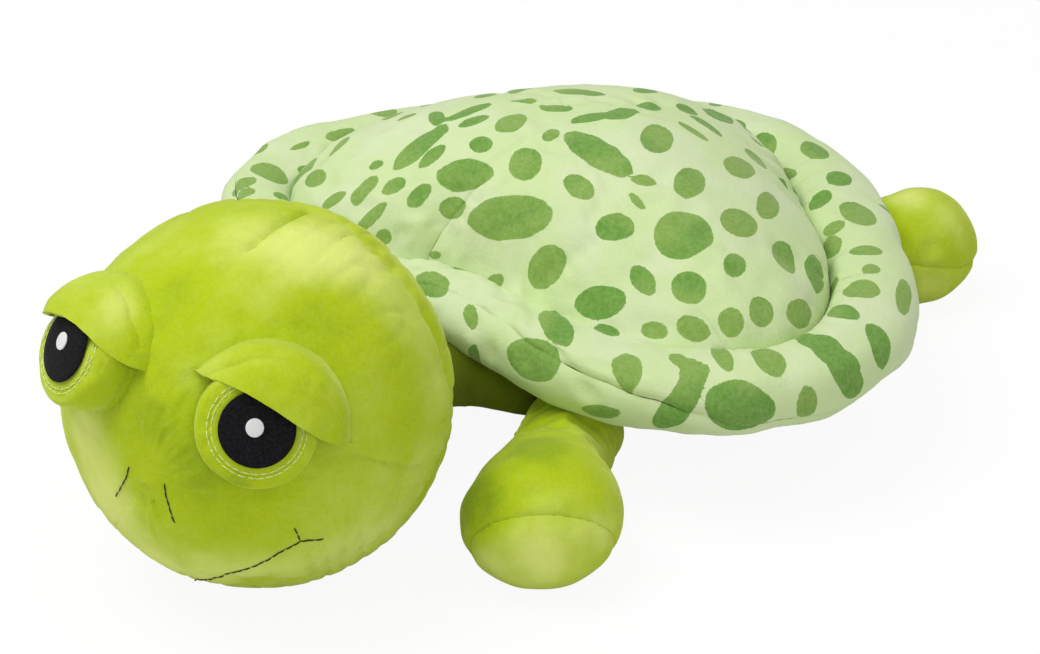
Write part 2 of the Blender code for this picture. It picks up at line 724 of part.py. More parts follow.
def main():
    clear_scene()
    turtle = collection("plush_turtle")
    cutters = collection("cutters")
    floor = floor_cutter(cutters)
    head_room = whole_head("head_room", HEAD_RADIUS + SEAM_GAP, cutters, TOOL)
    neck_room, nape_room = neck_rooms(cutters)

    rim = make_roll(turtle)
    make_dome(turtle)
    belly = make_belly(turtle)
    body = make_body_stuffing(turtle)
    for piece in (*rim, belly, body):
        take_away(piece, neck_room)
    take_away(belly, floor)

    neck_turn = carry("neck_turn", NECK_ROOT, make_neck(turtle), turtle)
    face, nape, filling = make_head(turtle)
    for piece in (face, nape):
        take_away(piece, floor)
    for piece in (nape, filling):
        take_away(piece, nape_room)
    head = [face, nape, filling] + make_face_threads(turtle)
    for name, side in SIDES:
        head += make_eye(name, side, turtle, head_room)
        head.append(make_lid(name, side, turtle, head_room))
    carry("head_nod", NECK_HEAD, head, turtle, neck_turn)

    front = (FRONT_ROOT, FRONT_FOOT, FRONT_WIDTH, FRONT_HEIGHT, FRONT_TOE, FRONT_TOE_TURN, FRONT_BEND,
             FRONT_SEAM_REACH, FRONT_SEAM_LEAN)
    rear = (REAR_ROOT, REAR_FOOT, REAR_WIDTH, REAR_HEIGHT, REAR_TOE, REAR_TOE_TURN, REAR_BEND,
            REAR_SEAM_REACH, REAR_SEAM_LEAN)
    for place, sizes in (("front", front), ("rear", rear)):
        for name, side in SIDES:
            leg, tag = Leg(*sizes, side), place + "_" + name
            carry("leg_" + tag + "_swing", leg.root, make_leg(tag, leg, turtle, floor), turtle)
            dish = ball("dish_" + tag, leg.root, LEG_ROOT_RADIUS + JOINT_GAP, cutters)
            take_away(belly, dish)
            take_away(body, dish)
    for item in cutters.objects:
        item.hide_render = True
        item.display_type = "WIRE"


main()
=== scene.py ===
"""A plush turtle: head, dome, roll and feet sewn from short-pile cloth and stuffed."""

import json
import math
import random
from bisect import bisect_right
from functools import partial

import bpy
from bpy.props import FloatProperty, FloatVectorProperty, PointerProperty
from mathutils import Matrix, Vector, noise
from mathutils.bvhtree import BVHTree
from mathutils.kdtree import KDTree

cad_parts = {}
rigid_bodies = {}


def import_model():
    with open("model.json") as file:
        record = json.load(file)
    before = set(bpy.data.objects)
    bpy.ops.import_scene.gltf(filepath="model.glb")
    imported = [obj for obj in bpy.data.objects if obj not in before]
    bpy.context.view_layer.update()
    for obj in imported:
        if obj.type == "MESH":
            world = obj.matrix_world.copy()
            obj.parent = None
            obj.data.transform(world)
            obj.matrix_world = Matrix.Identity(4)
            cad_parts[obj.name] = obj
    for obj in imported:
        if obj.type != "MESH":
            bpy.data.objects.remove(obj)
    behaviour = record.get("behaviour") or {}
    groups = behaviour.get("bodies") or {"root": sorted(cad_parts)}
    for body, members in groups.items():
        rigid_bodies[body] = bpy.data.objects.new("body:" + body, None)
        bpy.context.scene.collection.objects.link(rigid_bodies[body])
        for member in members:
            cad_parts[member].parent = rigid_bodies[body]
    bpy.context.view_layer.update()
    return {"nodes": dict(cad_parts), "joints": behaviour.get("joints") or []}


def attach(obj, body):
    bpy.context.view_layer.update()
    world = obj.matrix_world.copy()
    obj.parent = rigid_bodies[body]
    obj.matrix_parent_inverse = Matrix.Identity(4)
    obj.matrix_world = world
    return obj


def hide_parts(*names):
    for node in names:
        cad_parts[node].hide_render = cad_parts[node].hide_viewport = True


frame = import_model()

bl_info = {
    "name": "Plush turtle",
    "version": (1, 0, 0),
    "blender": (4, 5, 0),
    "location": "View3D > Sidebar > Turtle",
    "description": "Sews a stuffed turtle round its packed solids",
    "category": "Add Mesh",
}

JOINTS = {joint["name"]: Vector(joint["pos_m"]) for joint in frame["joints"]}
SIDES = (("left", 1), ("right", -1))
LEGS = ("front_left", "front_right", "rear_left", "rear_right")
WELD = 0.000002

# Each coarse skin that is blown up: its columns and rows, and how far the fine cloth may follow it
COARSE_SKINS = {"dome": (84, 20, 0.0016), "roll": (120, 8, 0.0016), "face": (72, 26, 0.0014),
                "nape": (72, 12, 0.0014), "cup": (32, 20, 0.0008), "lid": (24, 14, 0.0012),
                "leg": (30, 30, 0.003)}
SIM_FRAMES = 20
SIM_GROWTH = 0.02
SIM_PRESSURE = 4.0
SIM_STIFFNESS = 0.05
# Where a skin is held: past this share of the way to its edge
EDGE = 0.99
# How close to their seams the skins of dome and face are held, and how close to its sole a leg's
DOME_HOLD = 0.005
FACE_HOLD = 0.0062
SOLE_HOLD = 0.003
# Rings of a coarse skin shorter than this move as one, where its pole has to stay even
POLE_RING = 0.05

# The roll and the dome, in the solids' sizes
SHELL_RADIUS = 0.1412
# How far one to four waves round the shell bring its middle line out of round
SHELL_WAVE_SHARES = (-0.118, -0.149, -0.110, 0.018)
ROLL_WIDTH = 0.042
ROLL_HEIGHT = 0.037
SHELL_LIFT = 0.064
DOME_RISE = 0.058
DOME_POWER = 2.2
# Each gore's first seam: its turn at the dome's edge and at its top, and how far up it shows
DOME_SEAMS = (("front", -22, -4, 0.62), ("left", 65, 46, 0.17), ("rear", 161, 161, 0.25),
              ("right", 245, 245, 0.45))
BELLY_ANGLE = 140
BELLY_POWER_TURNS = ((-180, 3.3), (-5, 3.3), (14, 4.6), (34, 5.2), (50, 3.3), (180, 3.3))
FLOOR_PRESS = 0.0005
DOME_STEP = 0.0017
DOME_ROWS = 78
DOME_CROWDING = 1.35
ROLL_STEP = 0.0017
ROLL_ROWS = 30
BELLY_STEP = 0.0034
BELLY_ROWS = 44
BELLY_CROWDING = 0.8
# The dishes that hold a leg's or the neck's round end: their gap, and the steps by which they open
DISH_STEPS = 7
LEG_DISH = {"gap": 0.0006, "step": 0.005, "wider": 0.0009}
NECK_DISH = {"gap": 0.0010, "step": 0.004, "wider": 0.0016}
BELLY_NECK_GAP = 0.0008

# Tables by the turn round the shell. Where dome and roll meet, as an angle on the roll (90 is
# its top): at the front left they run into each other almost flush.
GROOVE_TURNS = ((-180, 142), (-100, 142), (-55, 138), (-25, 126), (15, 122), (60, 122), (75, 126),
                (95, 142), (150, 146), (180, 142))
GROOVE_DEPTH_TURNS = ((-180, 1.4), (-60, 1.3), (-28, 1.5), (0, 0.80), (20, 0.05), (50, 0.15), (60, 0.8),
                      (70, 2.0), (84, 3.0), (125, 3.2), (150, 2.2), (180, 1.4))
# The roll's half width on the dome's side, and how steeply the dome leaves it
INNER_TURNS = ((-180, 0.021), (-60, 0.022), (-22, 0.034), (-6, 0.026), (10, 0.025), (43, 0.036), (60, 0.031),
               (72, 0.021), (96, 0.0245), (150, 0.0245), (176, 0.0215), (180, 0.021))
ROUNDING_TURNS = ((-180, 0.75), (-40, 0.75), (-8, 0.92), (16, 1.12), (52, 1.12), (72, 0.78), (80, 0.75),
                  (180, 0.75))
# The angle of the roll's outer seam: it climbs onto the roll at the front left
OUTER_TURNS = ((-180, 0), (-120, 0), (-60, 50), (-2, 64), (19, 58), (29.5, 42), (41, 27), (49, 14),
               (55, 0), (64, -30), (80, -42), (110, -30), (150, -10), (180, 0))
# How far the roll's middle line lies outside its even line, and how much wider the roll is there
SPREAD_TURNS = ((-180, 0.0), (-100, 0.002), (-72, 0.0055), (-45, 0.001), (0, 0.0), (180, 0.0))
WIDER_TURNS = ((-180, 0.0), (72, 0.0), (108, 0.0065), (150, 0.007), (176, 0.001), (180, 0.0))

# The head and its seams. The cheek and chin darts are given as turn and lift in degrees, the top
# dart as its roll round the head and how far back it lies.
HEAD_RADIUS = 0.085
HEAD_PLACE = (0.0, -0.232, 0.0845)
HEAD_TURN = 8.8
HEAD_TILT = 7.8
SEAM_POLAR_TOP = 114
SEAM_POLAR_CHIN = 52
SEAM_ROLL_START = 80
SEAM_ROLL_END = 145
HEAD_COLUMNS = 330
FACE_ROWS = 104
FACE_CROWDING = 1.15
NAPE_ROWS = 64
NAPE_CROWDING = 1.2
DART_POINTS = 140
TOP_DART = ((0, 114), (0, 74.3))
CHEEK_DART = ((95.6, -4.0), (86.0, 1.0), (72.0, 9.0), (57.0, 18.0))
CHIN_DART = ((0.0, 4.0), (0.0, -8.0), (0.0, -23.0), (0.0, -52.0))

# Neck
NECK_RADIUS = 0.025
NECK_SIDES = 90
NECK_ROWS = 60
# The lowest height of the neck at the body and at the head, and how much wider it is at the body
NECK_LOW = (0.017, 0.050)
NECK_FLARE = 0.7

# Eyes
EYE_TURN = 32
EYE_LIFT = 26
EYE_REACH = 0.0999
CUP_RADIUS = 0.0250
CUP_ROUNDING = 0.0055
CUP_SIDES = 96
CUP_ROWS = 50
# The shares of the way over a cup's cloth at which its side ends and its top begins
CUP_SIDE = 0.40
CUP_TOP = 0.62
PUPIL_RADIUS = 0.0158
GLINT_RADIUS = 0.0039
STITCH_RADII = (0.0184, 0.0202)
FELT = 0.0012
GLINT_FELT = 0.0007
LID_RADIUS = 0.0343
LID_RISE = 0.032
LID_TOP = 0.1059
LID_ASIDE = 0.0035
LID_ABOVE = 0.0005
LID_WALL = 0.0026
LID_COLUMNS = 96
LID_ROWS = 52
LID_CROWDING = 1.3
# The depth of a lid's first fold and of its other ones
LID_FOLD_DEPTHS = (0.0030, 0.0016, 0.0016)
# Each lid's power, the places of its outer and inner end round its rim in degrees, and how far its
# free edge bows up from the line between them, by the share of the way from inner to outer end
LID_SHAPES = {
    "left": (3.2, -11.6, 147.9,
             ((-1, 0.0), (-0.92, 0.0018), (-0.83, 0.0030), (-0.72, 0.0037), (-0.60, 0.0040),
              (-0.38, 0.0038), (0.0, 0.0026), (0.3, 0.0010), (0.65, 0.0), (1, 0.0))),
    "right": (2.8, -9.0, 162.5,
              ((-1, 0.0), (-0.93, 0.0010), (-0.78, 0.0030), (-0.55, 0.0055), (-0.3, 0.0068),
               (0.0, 0.0068), (0.3, 0.0048), (0.65, 0.0020), (1, 0.0))),
}
# How far each eye's upper part leans back, as a share of the height above this line
EYE_LEANS = {"left": 0.0, "right": 0.24}
LEAN_FROM = 0.006
# The folds of each lid, through places given by their angle round it and their share of its radius
LID_FOLDS = {
    "left": (((150, 0.95), (120, 0.86), (80, 0.83), (45, 0.78), (8, 0.93)),
             ((60, 0.55), (30, 0.66), (5, 0.80))),
    "right": (((86, 0.84), (98, 0.87), (114, 0.90), (125, 0.905), (137, 0.95), (150, 0.97)),
              ((60, 0.50), (110, 0.62), (150, 0.80)), ((40, 0.75), (70, 0.68))),
}

# Threads, as turn and lift in degrees
NOSTRIL = ((6.3, 2.0), (7.0, -2.0), (9.0, -7.5), (10.4, -10.5))
MOUTH = ((0, -61), (4, -57), (8, -51), (15.5, -41), (23.5, -33.4), (30, -28), (36, -23), (41.5, -17),
         (47, -12.3))
MOUTH_FORKS = (((47, -12.3), (46.0, -9.6), (44.6, -6.6)), ((47, -12.3), (50.2, -12.4), (53.8, -12.6)))
# The photograph hides the mouth's far half, so that half lies lower, under the chin
FAR_MOUTH = ((0, -61), (-4, -62.5), (-8, -62.5), (-15.5, -59), (-23.5, -53.5), (-30, -48.5), (-36, -42.5),
             (-41.5, -36.5), (-47, -31))
FAR_MOUTH_FORKS = (((-47, -31), (-46, -28.5), (-44.6, -25.5)), ((-47, -31), (-50.2, -31), (-53.8, -31)))

# Legs
LEG_ROOT_RADIUS = 0.0215
LEG_SHANK_RADIUS = 0.0213
# Station, share of the width and share of the height by which a leg has swollen to its foot
LEG_SWELL_SHARES = ((0.0, 0.0, 0.0), (0.12, 0.20, 0.06), (0.45, 0.16, 0.16), (0.60, 0.28, 0.42),
                    (0.71, 0.50, 0.64), (0.85, 0.85, 0.88), (1.0, 1.0, 1.0))
LEG_SIDES = 120
# A leg's skin starts just off the pole of its round root; then its stations on root, leg and toe
LEG_START = -0.98
LEG_STATIONS = (24, 70, 36)
FRONT_LEG = {"foot": (0.1080, -0.1675), "width": 0.0725, "height": 0.061, "toe": 0.034, "toe_turn": 12,
             "bend": -0.0020, "seam_reach": 0.0165, "seam_lean": 30}
REAR_LEG = {"foot": (0.1040, 0.1685), "width": 0.058, "height": 0.061, "toe": 0.032, "toe_turn": 0,
            "bend": 0.0, "seam_reach": 0.0, "seam_lean": 103}

# The camera of the photograph, whose frame is 1040 by 654 pixels
PHOTO_SIZE = (1040, 654)
PHOTO_FOCAL = 2572.0
CAMERA_AZIMUTH = 38.0
CAMERA_ELEVATION = 28.73
CAMERA_DISTANCE = 1.2403
CAMERA_TARGET = (0.0252, -0.0773, 0.0595)
SENSOR_WIDTH = 36.0

# Where dome and roll lie flush, in pixels across: there a spot runs over both
FLUSH = (500, 725)
# Printed spots that the photograph shows: pixel of the middle, half length, half width, tilt
DOME_SPOTS = (
    (510, 217, 43, 22, -6), (546, 267, 24, 17, -62), (615, 227, 20, 14, -6), (684, 233, 30, 23, 8),
    (579, 187, 17, 11, 32), (597, 152, 38, 15, 28), (657, 138, 17, 14, 12), (690, 182, 16, 15, 0),
    (740, 167, 17, 10, 24), (739, 222, 20, 13, 24), (768, 205, 14, 11, 72), (735, 264, 12, 11, 60),
    (783, 259, 18, 8, 58), (689, 288, 18, 17, 0), (643, 280, 17, 11, 56), (600, 302, 26, 17, -8),
    (556, 324, 21, 14, 44), (731, 322, 15, 13, 90), (761, 311, 16, 12, 75), (801, 313, 15, 12, 80),
    (816, 273, 20, 8, 80), (655, 331, 14, 9, 0), (693, 328, 18, 12, 20), (607, 331, 13, 6, 18),
    (464, 174, 30, 16, 0), (525, 162, 17, 14, -25), (481, 144, 12, 8, -5), (511, 122, 17, 8, -18),
    (432, 156, 17, 6, -40), (420, 145, 36, 8, -38), (453, 208, 14, 11, -8), (419, 196, 15, 8, -45),
    (394, 187, 13, 7, -30), (364, 189, 19, 6, -46), (371, 217, 20, 6, -46), (376, 165, 8, 4, -25),
    (333, 200, 14, 5, -35), (469, 111, 25, 4, -20), (474, 121, 16, 4, -18), (436, 117, 8, 8, 0),
    (644, 180, 13, 6, 12), (637, 201, 11, 4, 46), (551, 135, 9, 6, -20), (579, 92, 26, 5, 4),
    (525, 88, 11, 4, -5), (523, 100, 13, 3, -2), (556, 108, 17, 4, 2), (622, 113, 18, 7, -5),
    (592, 117, 22, 4, -8), (649, 106, 13, 5, 8), (496, 281, 9, 7, -30), (384, 237, 8, 8, 0),
    (435, 255, 6, 4, 0), (461, 272, 14, 3, 22), (687, 110, 12, 4, 28),
    (706, 124, 20, 4, 30), (693, 131, 18, 3, 32))
ROLL_SPOTS = (
    (533, 360, 23, 17, 70), (627, 368, 18, 15, 75), (678, 359, 10, 6, 20), (722, 356, 13, 8, 38),
    (769, 358, 19, 11, 26), (471, 317, 13, 7, 80), (432, 284, 20, 11, 34), (410, 254, 19, 7, 12),
    (476, 360, 13, 8, 50), (741, 409, 35, 25, 5), (807, 404, 17, 10, -78),
    (810, 341, 16, 7, 12), (828, 349, 22, 13, 36), (845, 367, 24, 15, 60), (851, 382, 17, 13, 76), (880, 343, 23, 10, 72),
    (904, 297, 18, 8, 88), (861, 289, 19, 9, -4), (842, 311, 16, 7, -10), (871, 269, 9, 5, 0),
    (866, 250, 17, 5, 0), (858, 214, 20, 10, 24), (830, 246, 13, 8, -68), (839, 178, 13, 7, 8),
    (820, 200, 14, 7, -40), (815, 150, 15, 8, 22), (787, 174, 9, 6, 0), (763, 148, 17, 13, -70),
    (857, 403, 8, 6, -50), (270, 172, 20, 8, 22), (243, 183, 14, 5, -25), (245, 193, 11, 4, -25),
    (282, 196, 9, 4, 20), (306, 170, 8, 5, 5), (336, 171, 12, 9, 40), (306, 197, 10, 7, 60),
    (363, 154, 15, 11, -25), (340, 135, 16, 6, -12), (300, 146, 11, 3, -20), (676, 408, 20, 10, -8),
    (600, 412, 20, 6, 8), (736, 127, 8, 10, 80), (711, 124, 12, 4, 20), (775, 107, 8, 3, 20),
    (640, 92, 14, 3, 8), (834, 228, 12, 6, -30), (826, 276, 9, 5, -60), (562, 86, 14, 4, 0))

# Marks of painted light on the lime pile, partly its own patchy tone: pale marks paint highlight and sheen on the
# crown, the edges and the soles, deep marks paint shade, as on the muzzle, under the near cup and on the front
# foot. Each: pixel of the middle, radius in pixels, strength
SHEEN_AND_SHADE_MARKS = (
    (300, 250, 56, 0.90), (236, 236, 40, 0.25), (365, 262, 50, 0.70), (412, 322, 40, 0.50),
    (436, 380, 36, 0.45), (424, 470, 40, 0.30), (378, 535, 46, 0.55), (160, 232, 30, 0.25),
    (106, 500, 48, 1.00), (82, 430, 34, 0.90), (162, 562, 44, 0.75), (236, 570, 50, 0.60),
    (310, 560, 40, 0.45), (330, 505, 32, 0.20), (200, 462, 46, -0.75), (150, 412, 26, -0.45),
    (330, 318, 40, -0.35), (178, 290, 30, -0.30), (306, 352, 26, -0.20), (345, 440, 26, -0.20),
    (238, 482, 12, -0.60), (290, 345, 24, 0.25), (118, 308, 26, 0.65), (538, 446, 32, -1.10),
    (480, 500, 32, -1.00), (600, 450, 26, 0.40), (560, 500, 20, 0.05), (540, 560, 44, 1.00),
    (604, 536, 24, 0.60), (486, 562, 24, 0.75), (908, 196, 22, 0.95), (890, 232, 18, -0.60),
    (950, 215, 18, 0.40), (932, 287, 22, 0.50))

# The print on the sides that the photograph doesn't show
PRINT_SEED = 11
PRINT_CLEAR = 0.0065
PRINT_SIZES = (0.0055, 0.013)
PRINT_TRIES = 900

# Each solid of stuffing, the piece of fibre made from it and its body
FILLINGS = (("shell_rim_stuffing", "rim_filling", "shell"), ("body_stuffing", "body_filling", "shell"),
            ("neck_stuffing", "neck_filling", "neck"), ("head_stuffing", "head_filling", "head"),
            ("eye_stuffing_left", "eye_filling_left", "head"),
            ("eye_stuffing_right", "eye_filling_right", "head"),
            *(("leg_stuffing_" + leg, "leg_filling_" + leg, "leg_" + leg) for leg in LEGS))
# How far the fibre lies inside its solid, so that no pucker of the cloth reaches it
FILLING_INSETS = {"eye": 0.0045, "neck": 0.006, "leg": 0.0075, "body": 0.006}
FILLING_INSET = 0.005

# Floor and lamps: each lamp's place, what it points at and its size
FLOOR_WHITE = 0.80
FLOOR_GLOW = 1.03
FLOOR_GLOW_SHARE = 0.90
LAMPS = (("key_lamp", (-0.35, -0.55, 1.5), (0.0, -0.05, 0.06), 1.1),
         ("fill_lamp", (1.3, -1.2, 0.9), (0.0, -0.1, 0.06), 0.9))


def length(name, default, description):
    return FloatProperty(name=name, description=description, default=default, unit="LENGTH")


def power(name, default, description):
    return FloatProperty(name=name, description=description, default=default, unit="POWER")


def tone(name, default, description):
    return FloatVectorProperty(name=name, description=description, size=3, subtype="COLOR", default=default)


class TurtleCloth(bpy.types.PropertyGroup):
    """The cloth and how it is stuffed."""

    wall: length("Cloth", 0.0012, "Thickness of the cloth")
    lump: length("Lumps", 0.0013, "Height of the lumps of the filling")
    seam_depth: length("Seam depth", 0.0024, "How far a seam draws the cloth in")
    seam_width: length("Seam width", 0.0055, "How far from a seam the cloth bends in")
    pucker: length("Pucker depth", 0.0022, "Depth of the puckers square to a seam")
    # Pale lime is also the colour of painted highlight and sheen, and deep lime also that of painted shade
    lime: tone("Lime", (0.475, 0.61, 0.010), "Pile lying flat")
    lime_deep: tone("Deep lime", (0.31, 0.44, 0.008), "Pile standing up")
    lime_pale: tone("Pale lime", (0.78, 0.87, 0.22), "Pile brushed towards the light")
    shell: tone("Shell cloth", (0.67, 0.82, 0.42), "Ground colour of the printed cloth")
    shell_pale: tone("Pale shell cloth", (0.72, 0.83, 0.50), "Ground where the pile lies flat")
    spot: tone("Spots", (0.245, 0.41, 0.080), "Colour of the printed spots")
    spot_deep: tone("Deep spots", (0.150, 0.34, 0.050), "Spots where the pile stands up")


class TurtleThreads(bpy.types.PropertyGroup):
    """The threads that show."""

    width: length("Thread", 0.0007, "Diameter of the sewing thread")
    stitch: length("Stitch", 0.0042, "Length of a stitch on the face")
    eye_stitch: length("Eye stitch", 0.0034, "Length of a stitch round the eyes")
    gap: length("Gap", 0.0005, "Gap between stitches")
    pale: tone("Pale thread", (0.66, 0.74, 0.28), "Thread round the eyes")
    dark: tone("Dark thread", (0.035, 0.045, 0.010), "Thread of nostrils and mouth")


class TurtleStage(bpy.types.PropertyGroup):
    """Floor, lamps and camera."""

    key_power: power("Key lamp", 13.0, "Power of the lamp overhead")
    fill_power: power("Fill lamp", 2.5, "Power of the lamp at the camera's side")
    world: FloatProperty(name="Surroundings", description="Strength of the even light all round",
                         default=0.50)


def smooth_step(value):
    held = min(1.0, max(0.0, value))
    return held * held * (3.0 - 2.0 * held)


def even(count):
    return [step / count for step in range(count + 1)]


def full_turn(count):
    """Turns in radians all the way round."""
    return [math.tau * share for share in even(count)]


def both_ways(reach, count):
    """Values from minus reach to reach."""
    return [2 * reach * share - reach for share in even(count)]


def crowded(count, power):
    """Shares from 0 to 1 that lie closer together towards 1."""
    return [1.0 - (1.0 - share) ** power for share in even(count)]


def by_table(table, value):
    """A value read from a table of (at, value) rows, eased between its rows."""
    for (low, before), (high, after) in zip(table, table[1:]):
        if value <= high:
            return before + (after - before) * smooth_step((value - low) / (high - low))
    return table[-1][1]


def straight(table, value):
    """A value read from a table of (at, value) rows, in straight lines between its rows."""
    for (low, before), (high, after) in zip(table, table[1:]):
        if value <= high:
            return before + (after - before) * (value - low) / (high - low)
    return table[-1][1]


def turn_of(degrees):
    """A turn brought between -180 and 180 degrees."""
    return (degrees + 180.0) % 360.0 - 180.0


# Work on meshes


def choose(piece):
    """Makes a piece the only selected and the active one."""
    bpy.ops.object.select_all(action="DESELECT")
    piece.select_set(True)
    bpy.context.view_layer.objects.active = piece


def edit(piece):
    choose(piece)
    bpy.ops.object.mode_set(mode="EDIT")
    bpy.ops.mesh.select_all(action="SELECT")


def done():
    bpy.ops.object.mode_set(mode="OBJECT")


def applied(piece, kind, **settings):
    """Adds a modifier to the active piece and applies it."""
    modifier = piece.modifiers.new(kind.lower(), kind)
    for name, value in settings.items():
        setattr(modifier, name, value)
    bpy.ops.object.modifier_apply(modifier=modifier.name)


def store(piece, name, values):
    """Stores a number for each point of a piece, for its material to read."""
    attribute = piece.data.attributes.new(name, "FLOAT", "POINT")
    attribute.data.foreach_set("value", values)


def face_outward(piece, inside):
    """Turns all faces away from a point inside the form."""
    edit(piece)
    bpy.ops.mesh.remove_doubles(threshold=WELD)
    bpy.ops.mesh.normals_make_consistent(inside=False)
    done()
    facing = sum((face.center - inside).dot(face.normal) * face.area for face in piece.data.polygons)
    if facing < 0:
        edit(piece)
        bpy.ops.mesh.flip_normals()
        done()


def laid(name, columns, rows, place, inside):
    """Fine cloth laid over a form by place(column, row), welded where it meets itself."""
    across, along = len(columns) - 1, len(rows) - 1
    bpy.ops.object.select_all(action="DESELECT")
    bpy.ops.mesh.primitive_grid_add(x_subdivisions=across, y_subdivisions=along, size=1.0)
    piece = bpy.context.object
    piece.name = piece.data.name = name
    for vertex in piece.data.vertices:
        column = columns[round((vertex.co.x + 0.5) * across)]
        vertex.co = place(column, rows[round((vertex.co.y + 0.5) * along)])
    face_outward(piece, inside)
    return piece


def between_points(values, at):
    """A smooth curve through four evenly spaced values, between the second and the third."""
    before, first, second, after = values
    slope, next_slope = (second - before) / 2, (after - first) / 2
    square, cube = at * at, at * at * at
    return (first * (2 * cube - 3 * square + 1) + slope * (cube - 2 * square + at)
            + second * (3 * square - 2 * cube) + next_slope * (cube - square))


def stuffed(kind, place, columns_of, rows_of, sewn, inside, even_pole=False):
    """The same form with its cloth simulated over its filling.

    A coarse skin, over the columns and rows that columns_of(count) and rows_of(count) give, is held
    where sewn(column, row, point) says so, grows a little and is blown up from inside. The returned
    place follows it, moved by no more than the cap of its kind.
    """
    scene = bpy.context.scene
    column_count, row_count, cap = COARSE_SKINS[kind]
    columns, rows = columns_of(column_count), rows_of(row_count)
    points = [[place(column, row) for row in rows] for column in columns]
    coarse = laid("coarse_skin", columns, rows, place, inside)
    tree = KDTree(len(coarse.data.vertices))
    for vertex in coarse.data.vertices:
        tree.insert(vertex.co, vertex.index)
    tree.balance()
    numbers = [[tree.find(point)[1] for point in line] for line in points]
    held = {numbers[i][j] for i, column in enumerate(columns) for j, row in enumerate(rows)
            if sewn(column, row, points[i][j])}
    coarse.vertex_groups.new(name="sewn").add(list(held), 1.0, "REPLACE")
    start = [vertex.co.copy() for vertex in coarse.data.vertices]
    blown = coarse.modifiers.new("blown", "CLOTH")
    settings = blown.settings
    settings.vertex_group_mass = "sewn"
    settings.use_pressure = True
    settings.uniform_pressure_force = SIM_PRESSURE
    settings.effector_weights.gravity = 0.0
    settings.shrink_min = -SIM_GROWTH
    settings.bending_stiffness = SIM_STIFFNESS
    blown.point_cache.frame_start, blown.point_cache.frame_end = 1, SIM_FRAMES
    for number in range(1, SIM_FRAMES + 1):
        scene.frame_set(number)
    choose(coarse)
    bpy.ops.object.modifier_apply(modifier=blown.name)
    shifts = []
    for vertex, before in zip(coarse.data.vertices, start):
        shift = vertex.co - before
        length = max(shift.length, 1e-9)
        shifts.append(shift * (cap * math.tanh(length / cap) / length))
    bpy.data.objects.remove(coarse)
    scene.frame_set(1)
    grid = [[shifts[number] for number in line] for line in numbers]
    for j in range(len(rows) if even_pole else 0):
        length = sum((second[j] - first[j]).length for first, second in zip(points, points[1:]))
        mean = sum((line[j] for line in grid), Vector()) / len(grid)
        for line in grid:
            line[j] = mean.lerp(line[j], smooth_step((length - POLE_RING) / POLE_RING / 2))
    round_about = all(first == second for first, second in zip(numbers[0], numbers[-1]))
    last = len(columns) - 1

    def column_of(index):
        return grid[index % last] if round_about else grid[min(max(index, 0), last)]

    def moved(column, row):
        i = min(max(bisect_right(columns, column) - 1, 0), last - 1)
        j = min(max(bisect_right(rows, row) - 1, 0), len(rows) - 2)
        along = (row - rows[j]) / (rows[j + 1] - rows[j])
        four = [min(max(j + step, 0), len(rows) - 1) for step in (-1, 0, 1, 2)]
        lines = [between_points([column_of(i + step)[at] for at in four], along) for step in (-1, 0, 1, 2)]
        return place(column, row) + between_points(lines, (column - columns[i]) / (columns[i + 1] - columns[i]))

    return moved


def cut_away(piece, point, direction):
    """Takes away what lies behind a plane."""
    edit(piece)
    bpy.ops.mesh.bisect(plane_co=point, plane_no=direction, clear_inner=True)
    done()


def swell(piece, move):
    """Moves each point of a piece by move(point, normal)."""
    vertices = piece.data.vertices
    normals = [vertex.normal.copy() for vertex in vertices]
    for vertex, normal in zip(vertices, normals):
        vertex.co += move(vertex.co.copy(), normal)
    piece.data.update()


def press(piece, centre, radius):
    """Dents a piece where a ball sits in it: what lies in the ball moves inward to its far side."""
    vertices = piece.data.vertices
    normals = [vertex.normal.copy() for vertex in vertices]
    for vertex, normal in zip(vertices, normals):
        reach = vertex.co - centre
        inside = radius * radius - reach.length_squared
        if inside > 0:
            along = reach.dot(normal)
            vertex.co -= normal * (along + math.sqrt(along * along + inside))
    piece.data.update()


def dish(piece, root, ahead, radius, gap, step, wider):
    """Dents a piece where a joint's round end sits in it, wider the further it opens."""
    for number in range(DISH_STEPS):
        press(piece, root + ahead * (step * number), radius + gap + wider * number)


def rest_on_floor(piece):
    for vertex in piece.data.vertices:
        vertex.co.z = max(vertex.co.z, 0.0)
    piece.data.update()


def lumps(point, size, seed):
    return noise.noise(point / size + Vector((seed, 2.3 * seed, -seed)))


class Seam:
    """A sewn line. Cloth on both sides rolls into it and puckers square to it."""

    def __init__(self, points, depth, width, pucker, reach=0.011, spacing=0.0075, seed=0.0, out=None,
                 shares=None):
        self.tree = KDTree(len(points))
        self.along, length = [], 0.0
        for index, point in enumerate(points):
            length += (point - points[index - 1]).length if index else 0.0
            self.tree.insert(point, index)
            self.along.append(length)
        self.tree.balance()
        self.depth, self.width, self.pucker = depth, width, pucker
        self.reach, self.spacing, self.seed = reach, spacing, seed
        self.out = out
        self.shares = shares

    def away(self, point):
        return self.tree.find(point)[2]

    def dip(self, point, normal):
        """How the seam draws the cloth in at a point. Both of its sides move alike where they meet."""
        _, index, away = self.tree.find(point)
        if away > 4 * self.reach:
            return Vector()
        near = 1.0 - min(1.0, away / self.width)
        crease = self.depth * (1.0 - math.sqrt(1.0 - near * near))
        place = Vector((self.along[index] / self.spacing, away / self.spacing / 4, self.seed))
        valley = max(0.0, 1.0 - abs(noise.noise(place)) / 0.30)
        strength = 0.5 + 0.9 * noise.noise(place / 5 + Vector((3.1, 0.0, 7.7)))
        fades = (0.3 + 0.7 * smooth_step(away / 0.007)) * math.exp(-away / self.reach)
        drawn = crease + self.pucker * valley * valley * max(0.0, strength) * fades
        way = normal.lerp(self.out, near).normalized() if self.out else normal
        return way * (-drawn * (self.shares[index] if self.shares else 1.0))


